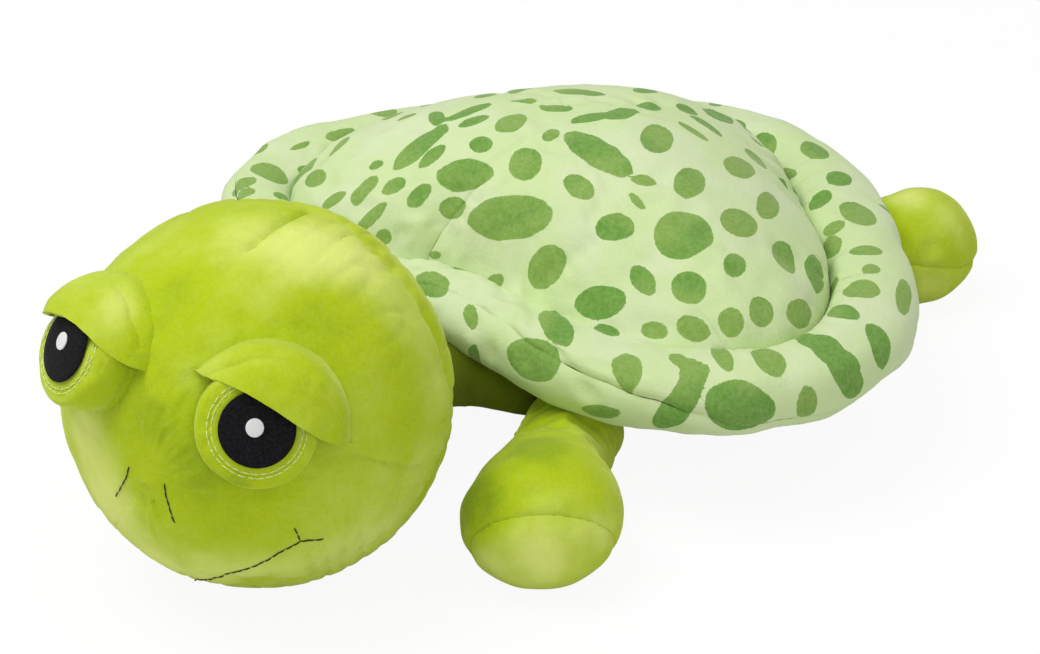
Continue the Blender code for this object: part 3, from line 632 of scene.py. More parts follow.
def soften(piece, seams, cloth, seed, lump_size=0.034, lump=1.0):
    """Gives a skin its seams, its puckers and the lumps of its filling."""
    height = cloth.lump * lump

    def move(point, normal):
        raised = height * (lumps(point, lump_size, seed) + 0.28 * lumps(point, lump_size / 2.7, seed + 5))
        for seam in seams:
            if seam.out:
                raised *= smooth_step(seam.away(point) / 0.009)
        return sum((seam.dip(point, normal) for seam in seams), normal * raised)

    swell(piece, move)


def through(points, place, count):
    """Points along a line through a few given ones, each placed on a form."""
    line = []
    spans = len(points) - 1
    for step in even(count):
        at = min(step * spans, spans - 1e-6)
        index = int(at)
        first, last = Vector(points[index]), Vector(points[index + 1])
        line.append(place(*first.lerp(last, at - index)))
    return line


def finish(piece, look, body, slot, nodes=(), wall=0.0, rounding=0.0):
    """Material, wall and body for a piece whose shape is ready; the solids it stands for are hidden."""
    choose(piece)
    if wall:
        applied(piece, "SOLIDIFY", thickness=wall, offset=-1.0)
    if rounding:
        applied(piece, "BEVEL", width=rounding, segments=3, angle_limit=math.radians(50))
    bpy.ops.object.shade_smooth_by_angle(angle=math.radians(50))
    piece.data.materials.clear()
    piece.data.materials.append(look)
    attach(piece, body)
    if nodes:
        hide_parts(*nodes)
    return piece


# Materials


class Value:
    """A socket of a material that takes part in sums: each sum adds a Math node."""

    def __init__(self, look, socket):
        self.look, self.socket = look, socket

    def math(self, operation, first, second):
        return self.look.add("ShaderNodeMath", {"operation": operation}, {0: first, 1: second})

    def __add__(self, other):
        return self.math("ADD", self, other)

    def __sub__(self, other):
        return self.math("SUBTRACT", self, other)

    def __mul__(self, other):
        return self.math("MULTIPLY", self, other)


class Look:
    """A material and its nodes, which are all added by one method."""

    def __init__(self, name, roughness, sheen=0.0, tint=(1.0, 1.0, 1.0)):
        self.material = bpy.data.materials.new(name + "_look")
        self.material.use_nodes = True
        self.tree = self.material.node_tree
        self.shader = self.tree.nodes["Principled BSDF"]
        self.set("Roughness", roughness)
        self.set("Specular IOR Level", 0.05)
        self.set("Sheen Weight", sheen)
        self.set("Sheen Roughness", 0.35)
        self.set("Sheen Tint", (*tint, 1.0))

    def put(self, socket, value):
        if isinstance(value, Value):
            self.tree.links.new(value.socket, socket)
        else:
            socket.default_value = value

    def set(self, name, value):
        self.put(self.shader.inputs[name], value)

    def add(self, kind, settings, inputs, output=0):
        node = self.tree.nodes.new(kind)
        for name, value in settings.items():
            setattr(node, name, value)
        for name, value in inputs.items():
            self.put(node.inputs[name], value)
        return Value(self, node.outputs[output])

    def places(self):
        return self.add("ShaderNodeTexCoord", {}, {}, "Object")

    def noise(self, size, detail=2.0, roughness=0.5, stretch=(1.0, 1.0, 1.0), shift=0.0):
        """Noise whose grains are about size metres across."""
        place = self.add("ShaderNodeMapping", {}, {"Vector": self.places(), "Scale": stretch,
                                                   "Location": (shift, shift, shift)})
        return self.add("ShaderNodeTexNoise", {}, {"Vector": place, "Scale": 1.0 / size, "Detail": detail,
                                                   "Roughness": roughness})

    def ease(self, value, low, high):
        """0 where the value is at low and 1 where it is at high, eased between them."""
        return self.add("ShaderNodeMapRange", {"interpolation_type": "SMOOTHSTEP"},
                        {"Value": value, "From Min": low, "From Max": high})

    def stored(self, name):
        """The number that a piece stores for each point under a name."""
        return self.add("ShaderNodeAttribute", {"attribute_name": name}, {}, "Fac")

    def mix(self, share, first, second):
        return self.add("ShaderNodeMix", {"data_type": "RGBA"},
                        {0: share, 6: colour(first), 7: colour(second)}, 2)

    def bump(self, height, distance, strength=1.0, under=None):
        inputs = {"Height": height, "Distance": distance, "Strength": strength}
        if under is not None:
            inputs["Normal"] = under
        return self.add("ShaderNodeBump", {}, inputs)


def colour(value):
    return value if isinstance(value, Value) else (*value[:3], 1.0)


def pile(look, fineness=1.0):
    """The short pile: fibres, tufts and soft brush marks."""
    fibres = look.noise(0.0007 * fineness, detail=2.0, roughness=0.7)
    tufts = look.noise(0.0026 * fineness, detail=2.0, roughness=0.6)
    low = look.bump(tufts, 0.0006, 0.5)
    return look.bump(fibres, 0.0004, 0.55, low)


def lime_velboa(cloth, name="lime_velboa", shade=1.0):
    # Below 1, shade darkens colours and sheen alike: a copy of the cloth with painted shade
    look = Look(name, 0.85, sheen=0.55 * shade, tint=(0.95, 1.0, 0.40))
    lime, deep, pale = ([part * shade for part in colours]
                        for colours in (cloth.lime, cloth.lime_deep, cloth.lime_pale))
    # The stored marks are painted highlight, sheen and shade; the two noises are the pile's own patchy tone
    wide = look.noise(0.045, detail=3.0, roughness=0.55) - 0.5
    small = look.noise(0.013, detail=3.0, roughness=0.6, stretch=(1.0, 1.0, 0.45), shift=4.0) - 0.5
    way = look.stored("brush") + wide * 1.3 + small * 0.6
    grain = look.ease(look.noise(0.0022, detail=3.0, roughness=0.7), 0.35, 0.65)
    ground = look.mix(look.ease(way, -0.05, -0.95), lime, deep)
    ground = look.mix(look.ease(way, -0.15, 1.15), ground, pale)
    ground = look.mix(grain * 0.08, ground, pale)
    look.set("Base Color", ground)
    look.set("Normal", pile(look))
    return look.material


def spotted_velboa(cloth):
    look = Look("spotted_velboa", 0.88, sheen=0.35, tint=(0.95, 1.0, 0.8))
    patches = look.ease(look.noise(0.05, detail=3.0, roughness=0.55), 0.42, 0.62)
    ground = look.mix(patches, cloth.shell, cloth.shell_pale)
    standing = look.ease(look.noise(0.06, detail=2.0, shift=2.0), 0.46, 0.60)
    spots = look.mix(standing, cloth.spot, cloth.spot_deep)
    tufts = look.noise(0.0016, detail=3.0, roughness=0.7, shift=1.0) - 0.5
    wander = look.noise(0.009, detail=2.0, roughness=0.5, shift=6.0) - 0.5
    edge = look.stored("print") + tufts * 0.0014 + wander * 0.0012
    inked = look.ease(edge, -0.00018, 0.00018)
    grain = look.ease(look.noise(0.0022, detail=3.0, roughness=0.7), 0.3, 0.7)
    shade = look.mix(grain * 0.16, spots, cloth.shell)
    look.set("Base Color", look.mix(inked, ground, shade))
    look.set("Normal", pile(look))
    return look.material


def fibre():
    look = Look("fibre", 0.95, sheen=0.3)
    clumps = look.noise(0.006, detail=4.0, roughness=0.7)
    look.set("Base Color", look.mix(clumps, (0.70, 0.70, 0.68), (0.90, 0.90, 0.88)))
    look.set("Normal", look.bump(clumps, 0.002))
    return look.material


def felt(name, dark, light):
    look = Look(name, 0.92, sheen=0.12)
    hairs = look.noise(0.0009, detail=4.0, roughness=0.75)
    look.set("Base Color", look.mix(look.ease(hairs, 0.35, 0.70), dark, light))
    look.set("Normal", look.bump(hairs, 0.0003, 0.6))
    return look.material


def twisted(name, base):
    """Sewing thread, with the light and dark of its plies."""
    look = Look(name, 0.6, sheen=0.2)
    plies = look.noise(0.0006, detail=2.0, roughness=0.6)
    paler = [min(1.0, part * 1.35 + 0.02) for part in base]
    look.set("Base Color", look.mix(look.ease(plies, 0.4, 0.6), base, paler))
    look.set("Normal", look.bump(plies, 0.0002, 0.6))
    return look.material


def the_look(name):
    """A material by its name, made when it is first asked for."""
    found = bpy.data.materials.get(name + "_look")
    if found:
        return found
    scene = bpy.context.scene
    cloth, threads = scene.turtle_cloth, scene.turtle_threads
    makers = {
        "lime_velboa": lambda: lime_velboa(cloth),
        # Belly and neck wear the lime cloth darkened to 0.30: painted shade under the roll and the head
        "belly_velboa": lambda: lime_velboa(cloth, "belly_velboa", 0.30),
        "spotted_velboa": lambda: spotted_velboa(cloth),
        "fibre": fibre,
        "black_felt": lambda: felt("black_felt", (0.006, 0.006, 0.007), (0.020, 0.020, 0.022)),
        "white_felt": lambda: felt("white_felt", (0.80, 0.80, 0.79), (0.90, 0.90, 0.89)),
        "eye_thread": lambda: twisted("eye_thread", threads.pale),
        "dark_thread": lambda: twisted("dark_thread", threads.dark),
    }
    return makers[name]()


# The shell


def shell_radius(turn, wave=1.0):
    """The roll's middle line. With less of its wave it is rounder, as the dome is on top."""
    waves = sum(share * math.cos((count + 1) * turn) for count, share in enumerate(SHELL_WAVE_SHARES))
    spread = by_table(SPREAD_TURNS, turn_of(math.degrees(turn)))
    return SHELL_RADIUS * (1.0 + waves * wave) + spread * wave


def round_shell(turn, radius, height):
    return Vector((radius * math.sin(turn), -radius * math.cos(turn), height))


def at_turn(table, turn):
    return by_table(table, turn_of(math.degrees(turn)))


def groove_angle(turn):
    return math.radians(at_turn(GROOVE_TURNS, turn))


def outer_angle(turn):
    return math.radians(at_turn(OUTER_TURNS, turn))


def roll_point(turn, angle):
    outer = (ROLL_WIDTH + at_turn(WIDER_TURNS, turn)) / 2
    inner = at_turn(INNER_TURNS, turn) if angle > math.pi / 2 else outer
    across = inner * math.cos(angle)
    up = ROLL_HEIGHT / 2 * math.sin(angle)
    return round_shell(turn, shell_radius(turn) + across, SHELL_LIFT + up)


def groove_point(turn):
    return roll_point(turn, groove_angle(turn))


def outer_point(turn):
    return roll_point(turn, outer_angle(turn))


def belly_seam_point(turn):
    return roll_point(turn, -math.radians(BELLY_ANGLE))


def dome_point(turn, share):
    """The dome: its edge lies in the groove, and its rise is as round as the stuffing makes it."""
    edge = groove_point(turn)
    top = SHELL_LIFT + ROLL_HEIGHT / 2 * math.sin(math.radians(BELLY_ANGLE)) + DOME_RISE
    rise = (1.0 - share ** DOME_POWER) ** at_turn(ROUNDING_TURNS, turn)
    reach = math.hypot(edge.x, edge.y) + shell_radius(turn, share) - shell_radius(turn)
    return round_shell(turn, reach * share, edge.z + (top - edge.z) * rise)


def gore_turn(number, across, share):
    """The turn at a share of the way across a gore and of the way out to its edge."""
    (_, edge, top, _), (_, next_edge, next_top, _) = DOME_SEAMS[number], DOME_SEAMS[(number + 1) % len(DOME_SEAMS)]
    first = top + (edge - top) * share
    last = next_top + (next_edge - next_top) * share
    return math.radians(first + (last - first) % 360 * across)


def belly_point(turn, share):
    seam = belly_seam_point(turn)
    height = (seam.z + FLOOR_PRESS) * share ** at_turn(BELLY_POWER_TURNS, turn) - FLOOR_PRESS
    return Vector((seam.x * share, seam.y * share, height))


def ring(place, count=1900):
    return [place(turn) for turn in full_turn(count)]


def shell_seams(cloth):
    """The seams of the shell: round the groove, round the outside, under the roll and up the dome."""
    seams = {
        "groove": Seam(ring(groove_point), cloth.seam_depth, cloth.seam_width, cloth.pucker,
                       reach=0.012, spacing=0.011, seed=1.0, out=Vector((0.0, 0.0, 1.0)),
                       shares=ring(lambda turn: at_turn(GROOVE_DEPTH_TURNS, turn))),
        "outside": Seam(ring(outer_point), cloth.seam_depth * 0.4, cloth.seam_width * 0.34,
                        cloth.pucker * 0.35, reach=0.006, spacing=0.009, seed=2.0),
        "under": Seam(ring(belly_seam_point), cloth.seam_depth, cloth.seam_width, cloth.pucker * 0.8,
                      reach=0.012, spacing=0.010, seed=3.0, out=Vector((0.0, 0.0, -1.0))),
    }
    for number, (name, _, _, shown) in enumerate(DOME_SEAMS):
        line = [dome_point(gore_turn(number, 0.0, share), share) for share in even(320)]
        fading = [smooth_step((share - 1.0 + shown) / shown * 2) for share in even(320)]
        seams[name] = Seam(line, cloth.seam_depth * 0.55, cloth.seam_width * 0.6, cloth.pucker * 0.5,
                           reach=0.008, spacing=0.009, seed=4.0 + number, shares=fading)
    return seams


class TURTLE_OT_dome(bpy.types.Operator):
    """Sew the four gores of the dome"""

    bl_idname = "turtle.dome"
    bl_label = "Dome"

    def execute(self, context):
        cloth = context.scene.turtle_cloth
        seams = shell_seams(cloth)
        rows = crowded(DOME_ROWS, DOME_CROWDING)
        middle = Vector((0.0, 0.0, SHELL_LIFT))

        def sewn(_, share, place):
            return share > EDGE or any(seams[name].away(place) < DOME_HOLD for name, *_ in DOME_SEAMS)

        whole = stuffed("dome", dome_point, full_turn, even, sewn, middle, even_pole=True)
        for number, (name, *_) in enumerate(DOME_SEAMS):
            following = DOME_SEAMS[(number + 1) % len(DOME_SEAMS)][0]

            def place(across, share, number=number):
                return whole(gore_turn(number, across, share) % math.tau, share)

            sweep = gore_turn(number, 1.0, 1.0) - gore_turn(number, 0.0, 1.0)
            columns = round(SHELL_RADIUS * sweep / DOME_STEP)
            gore = laid("dome_" + name + "_cloth", even(columns), rows, place, middle)
            soften(gore, [seams["groove"], seams[name], seams[following]], cloth, seed=1.0, lump=1.1)
            finish(gore, the_look("spotted_velboa"), "shell", "spotted_velboa",
                   ["shell_dome_" + name], cloth.wall)
        return {"FINISHED"}


class TURTLE_OT_roll(bpy.types.Operator):
    """Sew the two strips of the stuffed roll"""

    bl_idname = "turtle.roll"
    bl_label = "Roll"

    def execute(self, context):
        cloth = context.scene.turtle_cloth
        seams = shell_seams(cloth)
        turns = full_turn(round(SHELL_RADIUS * math.tau / ROLL_STEP))

        def upper(turn, share):
            outer = outer_angle(turn)
            return roll_point(turn, outer + (groove_angle(turn) - outer) * share)

        def lower(turn, share):
            outer = outer_angle(turn)
            return roll_point(turn, outer - (math.radians(BELLY_ANGLE) + outer) * share)

        strips = (("top", upper, "groove", SHELL_LIFT - SHELL_RADIUS),
                  ("under", lower, "under", SHELL_LIFT + SHELL_RADIUS))

        def sewn(_, share, place):
            return abs(2 * share - 1) > EDGE

        for name, place, seam, height in strips:
            inside = Vector((0.0, 0.0, height))
            place = stuffed("roll", place, full_turn, even, sewn, inside)
            strip = laid("rim_" + name + "_cloth", turns, even(ROLL_ROWS), place, inside)
            soften(strip, [seams["outside"], seams[seam]], cloth, seed=3.0, lump_size=0.028, lump=1.3)
            finish(strip, the_look("spotted_velboa"), "shell", "spotted_velboa",
                   ["shell_rim_" + name], cloth.wall)
        return {"FINISHED"}


class TURTLE_OT_belly(bpy.types.Operator):
    """Sew the belly, with hollows for the neck and the legs"""

    bl_idname = "turtle.belly"
    bl_label = "Belly"

    def execute(self, context):
        cloth = context.scene.turtle_cloth
        seams = shell_seams(cloth)
        turns = full_turn(round(SHELL_RADIUS * math.tau / BELLY_STEP))
        rows = [share ** BELLY_CROWDING for share in even(BELLY_ROWS)]
        belly = laid("belly_cloth", turns, rows, belly_point, Vector((0.0, 0.0, SHELL_LIFT)))
        soften(belly, [seams["under"]], cloth, seed=8.0, lump=0.8)
        for name, side in SIDES:
            for place in ("front", "rear"):
                root = JOINTS["leg_" + place + "_" + name + "_swing"]
                foot = (FRONT_LEG if place == "front" else REAR_LEG)["foot"]
                ahead = Vector((foot[0] * side, foot[1], root.z)) - root
                ahead.normalize()
                dish(belly, root, ahead, LEG_ROOT_RADIUS, **LEG_DISH)
        press(belly, JOINTS["neck_turn"], NECK_RADIUS + BELLY_NECK_GAP)
        rest_on_floor(belly)
        # The darkened copy of the lime cloth paints the shade under the roll
        finish(belly, the_look("belly_velboa"), "shell", "lime_velboa", ["belly_panel"], cloth.wall)
        return {"FINISHED"}


# The print


class Spot:
    """A printed spot: an ellipse in the plane that touches the cloth at its middle."""

    def __init__(self, middle, normal, long_axis, short_axis, seed):
        self.middle, self.seed = middle, seed
        self.size = min(long_axis.length, short_axis.length)
        self.reach = max(long_axis.length, short_axis.length)
        self.inward = Matrix((long_axis, short_axis, normal * self.size)).transposed().inverted()

    def depth(self, point):
        """How far inside the spot a point lies, in metres; less than zero outside."""
        away = point - self.middle
        if away.length > self.reach * 1.6 + 0.004:
            return -1.0
        place = self.inward @ away
        around = math.atan2(place.y, place.x)
        wobble = 1.0 + 0.05 * noise.noise(Vector((math.cos(around) * 1.3, math.sin(around) * 1.3, self.seed)))
        return (wobble - math.hypot(place.x, place.y)) * self.size


def camera_axes():
    turn, rise = math.radians(CAMERA_AZIMUTH), math.radians(CAMERA_ELEVATION)
    back = Vector((math.sin(turn) * math.cos(rise), -math.cos(turn) * math.cos(rise), math.sin(rise)))
    right = Vector((math.cos(turn), math.sin(turn), 0.0))
    return right, back.cross(right), back


def camera_place():
    return Vector(CAMERA_TARGET) + camera_axes()[2] * CAMERA_DISTANCE


def sight(x, y):
    """The direction in which the photograph's camera sees a pixel."""
    right, up, back = camera_axes()
    across = (x - PHOTO_SIZE[0] / 2) / PHOTO_FOCAL
    down = (y - PHOTO_SIZE[1] / 2) / PHOTO_FOCAL
    return (right * across - up * down - back).normalized()


def nearest(trees, ray):
    """The piece that the photograph's camera sees along a ray, with the place, normal and distance."""
    hits = [(name, *tree.ray_cast(camera_place(), ray)) for name, tree in trees.items()]
    hits = [(name, hit, normal, distance) for name, hit, normal, _, distance in hits if hit is not None]
    return min(hits, key=lambda hit: hit[3], default=None)


def seen_spots(table, trees):
    """Spots that the photograph shows, laid on the piece that each is seen on."""
    found = {name: [] for name in trees}
    eye = camera_place()
    for number, (x, y, half_length, half_width, tilt) in enumerate(table):
        seen = nearest(trees, sight(x, y))
        if seen is None:
            continue
        name, hit, normal, distance = seen
        lean = math.radians(tilt)
        axes = []
        for half, angle in ((half_length, lean), (half_width, lean + math.pi / 2)):
            across, down = half * math.cos(angle), half * math.sin(angle)
            longest = 2.6 * half * distance / PHOTO_FOCAL
            ends = [trees[name].ray_cast(eye, sight(x + across * way, y + down * way)) for way in (1, -1)]
            if all(end[0] and end[1].dot(normal) > 0.7 and abs(end[3] - distance) < longest
                   for end in ends):
                axis = (ends[0][0] - ends[1][0]) / 2
            else:
                ray = sight(x + across, y + down)
                facing = min(ray.dot(normal), -0.05)
                axis = eye + ray * ((hit - eye).dot(normal) / facing) - hit
            axes.append(axis * min(1.0, longest / max(axis.length, 1e-6)))
        flat = axes[0].cross(axes[1]).normalized()
        found[name].append(Spot(hit, flat if flat.dot(normal) > 0 else -flat, axes[0], axes[1], number * 1.7))
    return found


def scattered_spots(piece, spots, draw, eye):
    """Spots for the sides that the photograph doesn't show, kept clear of each other."""
    mesh, made = piece.data, list(spots)
    for _ in range(PRINT_TRIES):
        vertex = mesh.vertices[draw.randrange(len(mesh.vertices))]
        long_half = draw.uniform(*PRINT_SIZES)
        short_half = long_half * draw.uniform(0.55, 0.95)
        angle = draw.uniform(0.0, math.pi)
        to_eye = (eye - vertex.co).normalized()
        if vertex.normal.dot(to_eye) > 0.05:
            continue
        if any((spot.middle - vertex.co).length < spot.reach + long_half + PRINT_CLEAR for spot in made):
            continue
        normal = vertex.normal.copy()
        first = normal.orthogonal().normalized()
        second = normal.cross(first)
        axis = first * math.cos(angle) + second * math.sin(angle)
        made.append(Spot(vertex.co.copy(), normal, axis * long_half, normal.cross(axis) * short_half,
                         draw.uniform(0.0, 90.0)))
    return made


def print_spots(piece, spots):
    """Stores how deep inside a spot each point lies."""
    values = []
    for vertex in piece.data.vertices:
        depth = max((spot.depth(vertex.co) for spot in spots), default=-1.0)
        values.append(max(depth, -0.01))
    store(piece, "print", values)


class TURTLE_OT_print(bpy.types.Operator):
    """Print the spots on the dome and the roll"""

    bl_idname = "turtle.print"
    bl_label = "Print"

    def execute(self, context):
        draw = random.Random(PRINT_SEED)
        eye = camera_place()
        domes = ["dome_" + name + "_cloth" for name, *_ in DOME_SEAMS]
        rims = ["rim_top_cloth", "rim_under_cloth"]
        graph = context.evaluated_depsgraph_get()
        trees = {name: BVHTree.FromObject(bpy.data.objects[name], graph) for name in domes + rims}
        flush = [spot for spot in DOME_SPOTS if FLUSH[0] < spot[0] < FLUSH[1]]
        shared = seen_spots(flush, trees)
        apart = [spot for spot in DOME_SPOTS if spot not in flush]
        for names, table in ((domes, apart), (rims, ROLL_SPOTS)):
            found = seen_spots(table, {name: trees[name] for name in names})
            spots = [spot for group in (*shared.values(), *found.values()) for spot in group]
            for name in names:
                spots = scattered_spots(bpy.data.objects[name], spots, draw, eye)
            for name in names:
                print_spots(bpy.data.objects[name], spots)
        return {"FINISHED"}


class TURTLE_OT_sheen_and_shade(bpy.types.Operator):
    """Paint highlight, sheen and shade into the lime pile, pale where light falls and at the edges, deep in shade
    """

    bl_idname = "turtle.brush"
    bl_label = "Painted sheen and shade"

    def execute(self, context):
        graph = context.evaluated_depsgraph_get()
        pieces = [piece for piece in bpy.data.objects if piece.name.endswith("_cloth")
                  and piece.data.materials[0] == the_look("lime_velboa")]
        trees = {piece.name: BVHTree.FromObject(piece, graph) for piece in pieces}
        marks = []
        for x, y, radius, strength in SHEEN_AND_SHADE_MARKS:
            seen = nearest(trees, sight(x, y))
            if seen is not None:
                marks.append((seen[1], radius * seen[3] / PHOTO_FOCAL, strength))
        for piece in pieces:
            values = []
            for vertex in piece.data.vertices:
                share = 0.0
                for place, radius, strength in marks:
                    away = (vertex.co - place).length / radius
                    if away < 2.2:
                        share += strength * math.exp(-away * away)
                values.append(share)
            store(piece, "brush", values)
        return {"FINISHED"}


# The neck


def slack_neck(piece, inset=0.0):
    """Draws the neck up behind the head and makes it wide at the body, for its skin and its filling."""
    root, head = JOINTS["neck_turn"], JOINTS["head_nod"]
    for vertex in piece.data.vertices:
        share = min(1.0, max(0.0, (root.y - vertex.co.y) / (root.y - head.y)))
        low = NECK_LOW[0] + (NECK_LOW[1] - NECK_LOW[0]) * share + inset
        vertex.co.z = max(vertex.co.z, low + (vertex.co.z - low) * 0.12)
        vertex.co.x *= 1.0 + NECK_FLARE * smooth_step((vertex.co.y - root.y) / NECK_RADIUS + 1.2)


class TURTLE_OT_neck(bpy.types.Operator):
    """Sew the neck, wrinkled where it bends"""

    bl_idname = "turtle.neck"
    bl_label = "Neck"

    def execute(self, context):
        cloth = context.scene.turtle_cloth
        root, head = JOINTS["neck_turn"], JOINTS["head_nod"]
        lean = Vector((0.0, 0.0, 1.0)).rotation_difference(head - root).to_matrix()
        length = (head - root).length

        def place(turn, share):
            """A round-ended sausage along the neck."""
            reach = share * (length + 2 * NECK_RADIUS) - NECK_RADIUS
            past = min(0.0, reach) + max(0.0, reach - length)
            radius = math.sqrt(max(0.0, NECK_RADIUS ** 2 - past ** 2))
            fold = 0.0006 * math.sin(reach / 0.0016 + 2.0 * math.sin(turn))
            radius = max(0.0, radius - abs(fold * smooth_step(1 - abs(2 * share - 1))))
            return root + lean @ Vector((radius * math.cos(turn), radius * math.sin(turn), reach))

        turns = full_turn(NECK_SIDES)
        rows = [(1 - math.cos(math.pi * share)) / 2 for share in even(NECK_ROWS)]
        neck = laid("neck_cloth", turns, rows, place, (root + head) / 2)
        slack_neck(neck)
        # The darkened copy of the lime cloth paints the shade that falls on the neck
        finish(neck, the_look("belly_velboa"), "neck", "lime_velboa", ["neck_skin"], cloth.wall)
        return {"FINISHED"}


# The head


def head_frame():
    turn = Matrix.Rotation(math.radians(HEAD_TURN), 4, "Z")
    tilt = Matrix.Rotation(math.radians(HEAD_TILT), 4, "Y")
    return Matrix.Translation(HEAD_PLACE) @ turn @ tilt


def on_head(turn, lift):
    """A place on the head by its turn to the left and its lift, in degrees."""
    side, up = math.radians(turn), math.radians(lift)
    out = Vector((math.sin(side) * math.cos(up), -math.cos(side) * math.cos(up), math.sin(up)))
    return head_frame() @ (out * HEAD_RADIUS)


def seam_polar(roll):
    """How far back the seam between face and nape lies, roll 0 at the crown and 180 at the chin."""
    share = (abs(roll) - SEAM_ROLL_START) / (SEAM_ROLL_END - SEAM_ROLL_START)
    return SEAM_POLAR_TOP + (SEAM_POLAR_CHIN - SEAM_POLAR_TOP) * smooth_step(share)


def head_point(roll, polar):
    side, back = math.radians(roll), math.radians(polar)
    across = math.sin(back)
    out = Vector((across * math.sin(side), -math.cos(back), across * math.cos(side)))
    return head_frame() @ (out * HEAD_RADIUS)


def face_point(roll, share):
    return head_point(roll, seam_polar(roll) * share)


def nape_point(roll, share):
    seam = seam_polar(roll)
    return head_point(roll, seam + (180 - seam) * share)


def head_seams(cloth):
    """The seam round the head and the darts of the face."""
    rolls = both_ways(180, 1100)
    round_head = [head_point(roll, seam_polar(roll)) for roll in rolls]
    fading = [smooth_step(min(share, 1.0 - share) * 6) for share in even(DART_POINTS)]
    dart = {"depth": cloth.seam_depth * 1.15, "width": cloth.seam_width * 0.62, "reach": 0.009,
            "pucker": cloth.pucker * 0.6, "spacing": 0.010, "shares": fading}
    shallow = dict(dart, depth=cloth.seam_depth * 0.6, pucker=cloth.pucker * 0.15)
    top = through(TOP_DART, head_point, DART_POINTS)
    chin = through(CHIN_DART, on_head, DART_POINTS)
    darts = [Seam(top, seed=1.0, **dart), Seam(chin, seed=2.0, **shallow)]
    for _, side in SIDES:
        cheek = through([(turn * side, lift) for turn, lift in CHEEK_DART], on_head, DART_POINTS)
        darts.append(Seam(cheek, seed=3.0 + side, **dart))
        foot = ring(lambda turn: eye_frame(side) @ Vector((CUP_RADIUS * 0.97 * math.cos(turn),
                                                           CUP_RADIUS * 0.97 * math.sin(turn),
                                                           HEAD_RADIUS - 0.0036)), 300)
        darts.append(Seam(foot, 0.0026, 0.0075, 0.0008, reach=0.007, spacing=0.007, seed=9.0 + side))
    slack = [1.0 - 0.45 * smooth_step((abs(roll) - 95.0) / 40.0) for roll in rolls]
    around = Seam(round_head, cloth.seam_depth * 1.25, cloth.seam_width * 1.2, cloth.pucker * 1.9,
                  reach=0.024, spacing=0.0105, seed=6.0, shares=slack)
    return around, darts


class TURTLE_OT_head(bpy.types.Operator):
    """Sew the face and the nape"""

    bl_idname = "turtle.head"
    bl_label = "Head"

    def execute(self, context):
        cloth = context.scene.turtle_cloth
        around, darts = head_seams(cloth)
        rolls = both_ways(180, HEAD_COLUMNS)
        nape_rows = [share ** NAPE_CROWDING for share in even(NAPE_ROWS)]
        centre = Vector(HEAD_PLACE)
        eyes = [eye_frame(side) @ Vector((0.0, 0.0, HEAD_RADIUS)) for _, side in SIDES]

        def sewn_face(_, share, place):
            """At the seam, on the floor, under the eyes and at all darts but the shallow one."""
            if share > EDGE or place.z < 0.006 or any((place - eye).length < LID_RADIUS for eye in eyes):
                return True
            return any(dart.away(place) < FACE_HOLD for dart in darts[:1] + darts[2:])

        def sewn_nape(_, share, place):
            """At the seam, and round the neck."""
            return not 1.0 - EDGE < share < 0.6

        coarse = partial(both_ways, 180)
        full_face = stuffed("face", face_point, coarse, even, sewn_face, centre, even_pole=True)
        full_nape = stuffed("nape", nape_point, coarse, even, sewn_nape, centre)
        face = laid("face_cloth", rolls, crowded(FACE_ROWS, FACE_CROWDING), full_face, centre)
        soften(face, [around] + darts, cloth, seed=12.0, lump_size=0.040, lump=1.1)
        nape = laid("nape_cloth", rolls, nape_rows, full_nape, centre)
        soften(nape, [around], cloth, seed=12.0, lump_size=0.040, lump=1.1)
        root, head = JOINTS["neck_turn"], JOINTS["head_nod"]
        dish(nape, head, (root - head).normalized(), NECK_RADIUS, **NECK_DISH)
        for piece in (face, nape):
            rest_on_floor(piece)
        velboa = the_look("lime_velboa")
        finish(face, velboa, "head", "lime_velboa", ["head_face_panel"], cloth.wall)
        finish(nape, velboa, "head", "lime_velboa", ["head_nape_panel"], cloth.wall)
        return {"FINISHED"}


# The eyes


def eye_frame(side):
    """Z looks out of the eye, X to the turtle's left and Y up, from the middle of the head."""
    turn = math.radians(EYE_TURN)
    lift = math.radians(EYE_LIFT)
    out = Vector((math.sin(turn) * side * math.cos(lift), -math.cos(turn) * math.cos(lift), math.sin(lift)))
    aside = Vector((math.cos(turn), math.sin(turn) * side, 0.0))
    return head_frame() @ Matrix((aside, out.cross(aside), out)).transposed().to_4x4()


